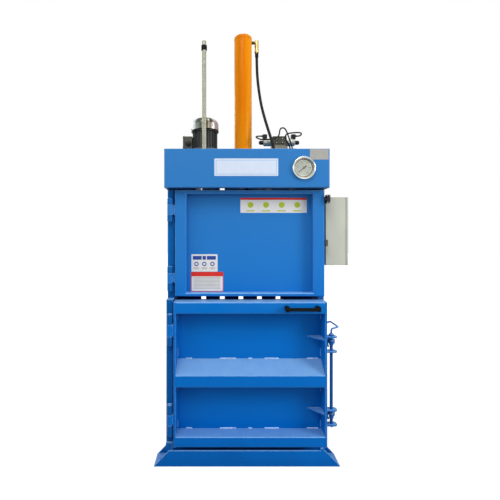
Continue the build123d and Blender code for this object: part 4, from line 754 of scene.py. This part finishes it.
blank = bmesh.new()
blank_profile = ((0.0, 19.0), (2.0, 19.0), (3.0, 17.5), (3.0, 14.0), (7.0, 13.0), (8.0, 11.0))
turned(blank, (-361, 3, 1892), (0, -1, 0), blank_profile, 48)
make_piece("terminal_box_blank", blank, (nylon,), "root")

filler_x, filler_y = -146, 205
grip_r = 24.4
ridges = 28
knurls = bmesh.new()
grip = ((-0.2, 23.0), (-0.2, grip_r), (19.0, grip_r), (21.0, 22.6), (21.4, 12.0))
ridge = ((0.0, 1.0), (1.0, 1.5), (16.0, 1.5), (17.5, 1.0))
turned(knurls, (filler_x, filler_y, 1868), (0, 0, 1), grip, 64)
for i in range(ridges):
    a = 2 * math.pi * i / ridges
    at = (filler_x + grip_r * math.cos(a), filler_y + grip_r * math.sin(a), 1869)
    turned(knurls, at, (0, 0, 1), ridge, 10)
make_piece("filler_cap_cover", knurls, (nylon,), "root")


# Gauge dial: an aluminium disc in pale printed enamel behind a flat float glass, with a scale of fine black
# lines and plain numbers. A dark ring is painted round it where the rim throws its shadow, a painted shadow.
dial, tree, surface = fresh("pale_dial_enamel")
surface.inputs["Roughness"].default_value = 0.5
where = add(tree, "TexCoord")
age = add(tree, "TexNoise", {"Vector": where.outputs["Object"], "Scale": 1000 / 30, "Detail": 2.0})
dial_y = -343
dial_at = (gauge_x / 1000, dial_y / 1000, gauge_z / 1000)
spot = add(tree, "VectorMath", {0: where.outputs["Object"], 1: dial_at}, operation="DISTANCE")
wave = add(tree, "Math", {
    0: age.outputs["Fac"], 1: 0.0006, 2: spot.outputs["Value"],
}, operation="MULTIPLY_ADD")
reach = add(tree, "MapRange", {"Value": wave.outputs[0], "From Max": 0.06})
tone = add(tree, "ValToRGB", {0: reach.outputs[0]})
tone.color_ramp.interpolation = "CONSTANT"
# The dark step of the ramp is the rim's painted shadow.
for step, code in ((0.0, "#CFCDC0"), (0.71, "#F4F0E2"), (0.785, "#1E1D18"), (0.86, "#E4E4DC")):
    made = tone.color_ramp.elements.new(step) if step else tone.color_ramp.elements[0]
    made.color = linear(code)
tone.color_ramp.elements[-1].color = linear("#E4E4DC")
tree.links.new(tone.outputs[0], surface.inputs["Base Color"])
coat(dial, "gauge_dial")

scale_start, scale_span = 220, 270    # degrees
lines, numbers = 30, 5                # steps of the fine and of the numbered scale
line_end, number_r = 42.0, 30.0
marks = bmesh.new()
for i in range(lines + 1):
    deg = scale_start - i * scale_span / lines
    line_start, half = ((36.5, 0.9) if i * numbers % lines == 0 else (39.0, 0.5))
    u = Vector((math.cos(math.radians(deg)), 0, math.sin(math.radians(deg))))
    v = Vector((-u.z, 0, u.x))
    corners = []
    for y in (dial_y - 0.2, dial_y + 0.1):
        for r, side in ((line_start, -half), (line_end, -half), (line_end, half), (line_start, half)):
            corners.append(marks.verts.new((Vector((gauge_x, y, gauge_z)) + u * r + v * side) / 1000))
    for a, b, c, d in ((3, 2, 1, 0), (4, 5, 6, 7), (0, 1, 5, 4), (1, 2, 6, 5), (2, 3, 7, 6), (3, 0, 4, 7)):
        marks.faces.new((corners[a], corners[b], corners[c], corners[d]))
for i in range(numbers + 1):
    a = math.radians(scale_start - i * scale_span / numbers)
    digits = bpy.data.curves.new("number", "FONT")
    digits.body = str(i * 5)
    digits.size = 0.009
    digits.extrude = 0.0001
    digits.align_x = "CENTER"
    digits.align_y = "CENTER"
    digits.resolution_u = 2
    holder = bpy.data.objects.new("number", digits)
    flat = bpy.data.meshes.new_from_object(holder)
    at = Vector((gauge_x + number_r * math.cos(a), dial_y - 0.1, gauge_z + number_r * math.sin(a))) / 1000
    flat.transform(Matrix.Translation(at) @ Matrix.Rotation(math.radians(90), 4, "X"))
    marks.from_mesh(flat)
    bpy.data.objects.remove(holder)
    bpy.data.meshes.remove(flat)
    bpy.data.curves.remove(digits)
make_piece("dial_scale", marks, (black,), "root")

glass, tree, surface = fresh("clear_float_glass")
surface.inputs["Base Color"].default_value = linear("#F6FAF9")
surface.inputs["Roughness"].default_value = 0.02
surface.inputs["IOR"].default_value = 1.5
surface.inputs["Transmission Weight"].default_value = 1.0
coat(glass, "gauge_glass")


# Cabinet: folded sheet enclosure in light grey powder coat, with the fine pebble of the powder. A dark foam
# seal fills the gap behind its door, and two quarter-turn locks sit on the door's free side.
powder, tree, surface = fresh("light_grey_powder_coat")
surface.inputs["Roughness"].default_value = 0.55
where = add(tree, "TexCoord")
pebble = add(tree, "TexNoise", {"Vector": where.outputs["Object"], "Scale": 1000 / 2.5, "Detail": 2.0})
haze = add(tree, "TexNoise", {"Vector": where.outputs["Object"], "Scale": 1000 / 120, "Detail": 3.0})
tone = add(tree, "Mix", {
    0: haze.outputs["Fac"], 6: linear("#A6A89C"), 7: linear("#B6B8AC"),
}, data_type="RGBA")
# Painted highlight: the powder coat is painted paler along its edges.
rounded = add(tree, "Bevel", {"Radius": 0.003}, samples=4)
faced = add(tree, "NewGeometry")
match = add(tree, "VectorMath", {0: rounded.outputs[0], 1: faced.outputs["Normal"]}, operation="DOT_PRODUCT")
edge = add(tree, "MapRange", {
    "Value": match.outputs["Value"], "From Min": 0.995, "From Max": 0.88, "To Max": 0.5,
})
lit = add(tree, "Mix", {0: edge.outputs[0], 6: tone.outputs[2], 7: linear("#D6D8CC")}, data_type="RGBA")
bump = add(tree, "Bump", {"Strength": 0.3, "Distance": 0.0002, "Height": pebble.outputs["Fac"]})
tree.links.new(lit.outputs[2], surface.inputs["Base Color"])
tree.links.new(bump.outputs[0], surface.inputs["Normal"])
coat(powder, "cabinet_box", "cabinet_door")

foam, tree, surface = fresh("grey_foam_seal")
surface.inputs["Roughness"].default_value = 0.85
where = add(tree, "TexCoord")
pores = add(tree, "TexNoise", {"Vector": where.outputs["Object"], "Scale": 1000 / 1.2, "Detail": 3.0})
tone = add(tree, "Mix", {
    0: pores.outputs["Fac"], 6: linear("#2C2C28"), 7: linear("#484842"),
}, data_type="RGBA")
tree.links.new(tone.outputs[2], surface.inputs["Base Color"])
seal = bmesh.new()
corners = []
for y0, y1, z0, z1 in ((-247.8, 47.8, 1116.2, 1513.8), (-240.0, 40.0, 1124.0, 1506.0)):
    ring = ((y0, z0), (y1, z0), (y1, z1), (y0, z1))
    for x in (588.2, 601.8):
        corners.append([seal.verts.new((x / 1000, y / 1000, z / 1000)) for y, z in ring])
for a, b in ((0, 1), (1, 3), (3, 2), (2, 0)):
    for i in range(4):
        j = (i + 1) % 4
        seal.faces.new((corners[a][i], corners[a][j], corners[b][j], corners[b][i]))
make_piece("cabinet_seal", seal, (foam,), "cabinet_lid")

lock_y = -226
lock_collar = ((0.0, 11.0), (2.0, 11.0), (3.0, 10.0), (3.0, 7.0), (4.2, 6.6), (4.2, 2.0))
lock_lug = ((0.0, 2.2), (1.8, 2.2), (2.2, 1.6))
locks = bmesh.new()
for z in (1190, 1440):
    turned(locks, (604, lock_y, z), (1, 0, 0), lock_collar, 48)
    for side in (-1, 1):
        turned(locks, (607.4, lock_y, z + side * 3.2), (1, 0, 0), lock_lug, 16)
make_piece("cabinet_locks", locks, (steel,), "cabinet_lid")


# Switchgear that snaps on the mounting plate: contactors and terminal rows moulded in grey polyamide, half
# matt, with a lighter rib on each module, about 18 mm apart.
gear_grey, tree, surface = fresh("grey_moulded_switchgear")
surface.inputs["Roughness"].default_value = 0.5
where = add(tree, "TexCoord")
module = 0.017756    # the texture's wave repeats each 2 pi / 20 of its scaled length
band = add(tree, "TexWave", {
    "Vector": where.outputs["Object"], "Scale": math.pi / 10 / module, "Distortion": 0.0,
}, bands_direction="Y")
tone = add(tree, "Mix", {
    0: band.outputs["Fac"], 6: linear("#5E6163"), 7: linear("#A6A9A8"),
}, data_type="RGBA")
tree.links.new(tone.outputs[2], surface.inputs["Base Color"])
coat(gear_grey, "cabinet_gear")


# Push buttons in the cabinet's door: caps moulded in acetal, smooth and glossy. Red is for stop, and green
# for the two ways of the ram.
for name, low, high, nodes in (
    ("red_acetal", "#B5101A", "#C71822", ("stop_button",)),
    ("green_acetal", "#0F7A35", "#148A3E", ("up_button", "down_button")),
):
    acetal, tree, surface = fresh(name)
    surface.inputs["Roughness"].default_value = 0.28
    where = add(tree, "TexCoord")
    flow = add(tree, "TexNoise", {"Vector": where.outputs["Object"], "Scale": 1000 / 15, "Detail": 2.0})
    tone = add(tree, "Mix", {0: flow.outputs["Fac"], 6: linear(low), 7: linear(high)}, data_type="RGBA")
    tree.links.new(tone.outputs[2], surface.inputs["Base Color"])
    coat(acetal, *nodes)
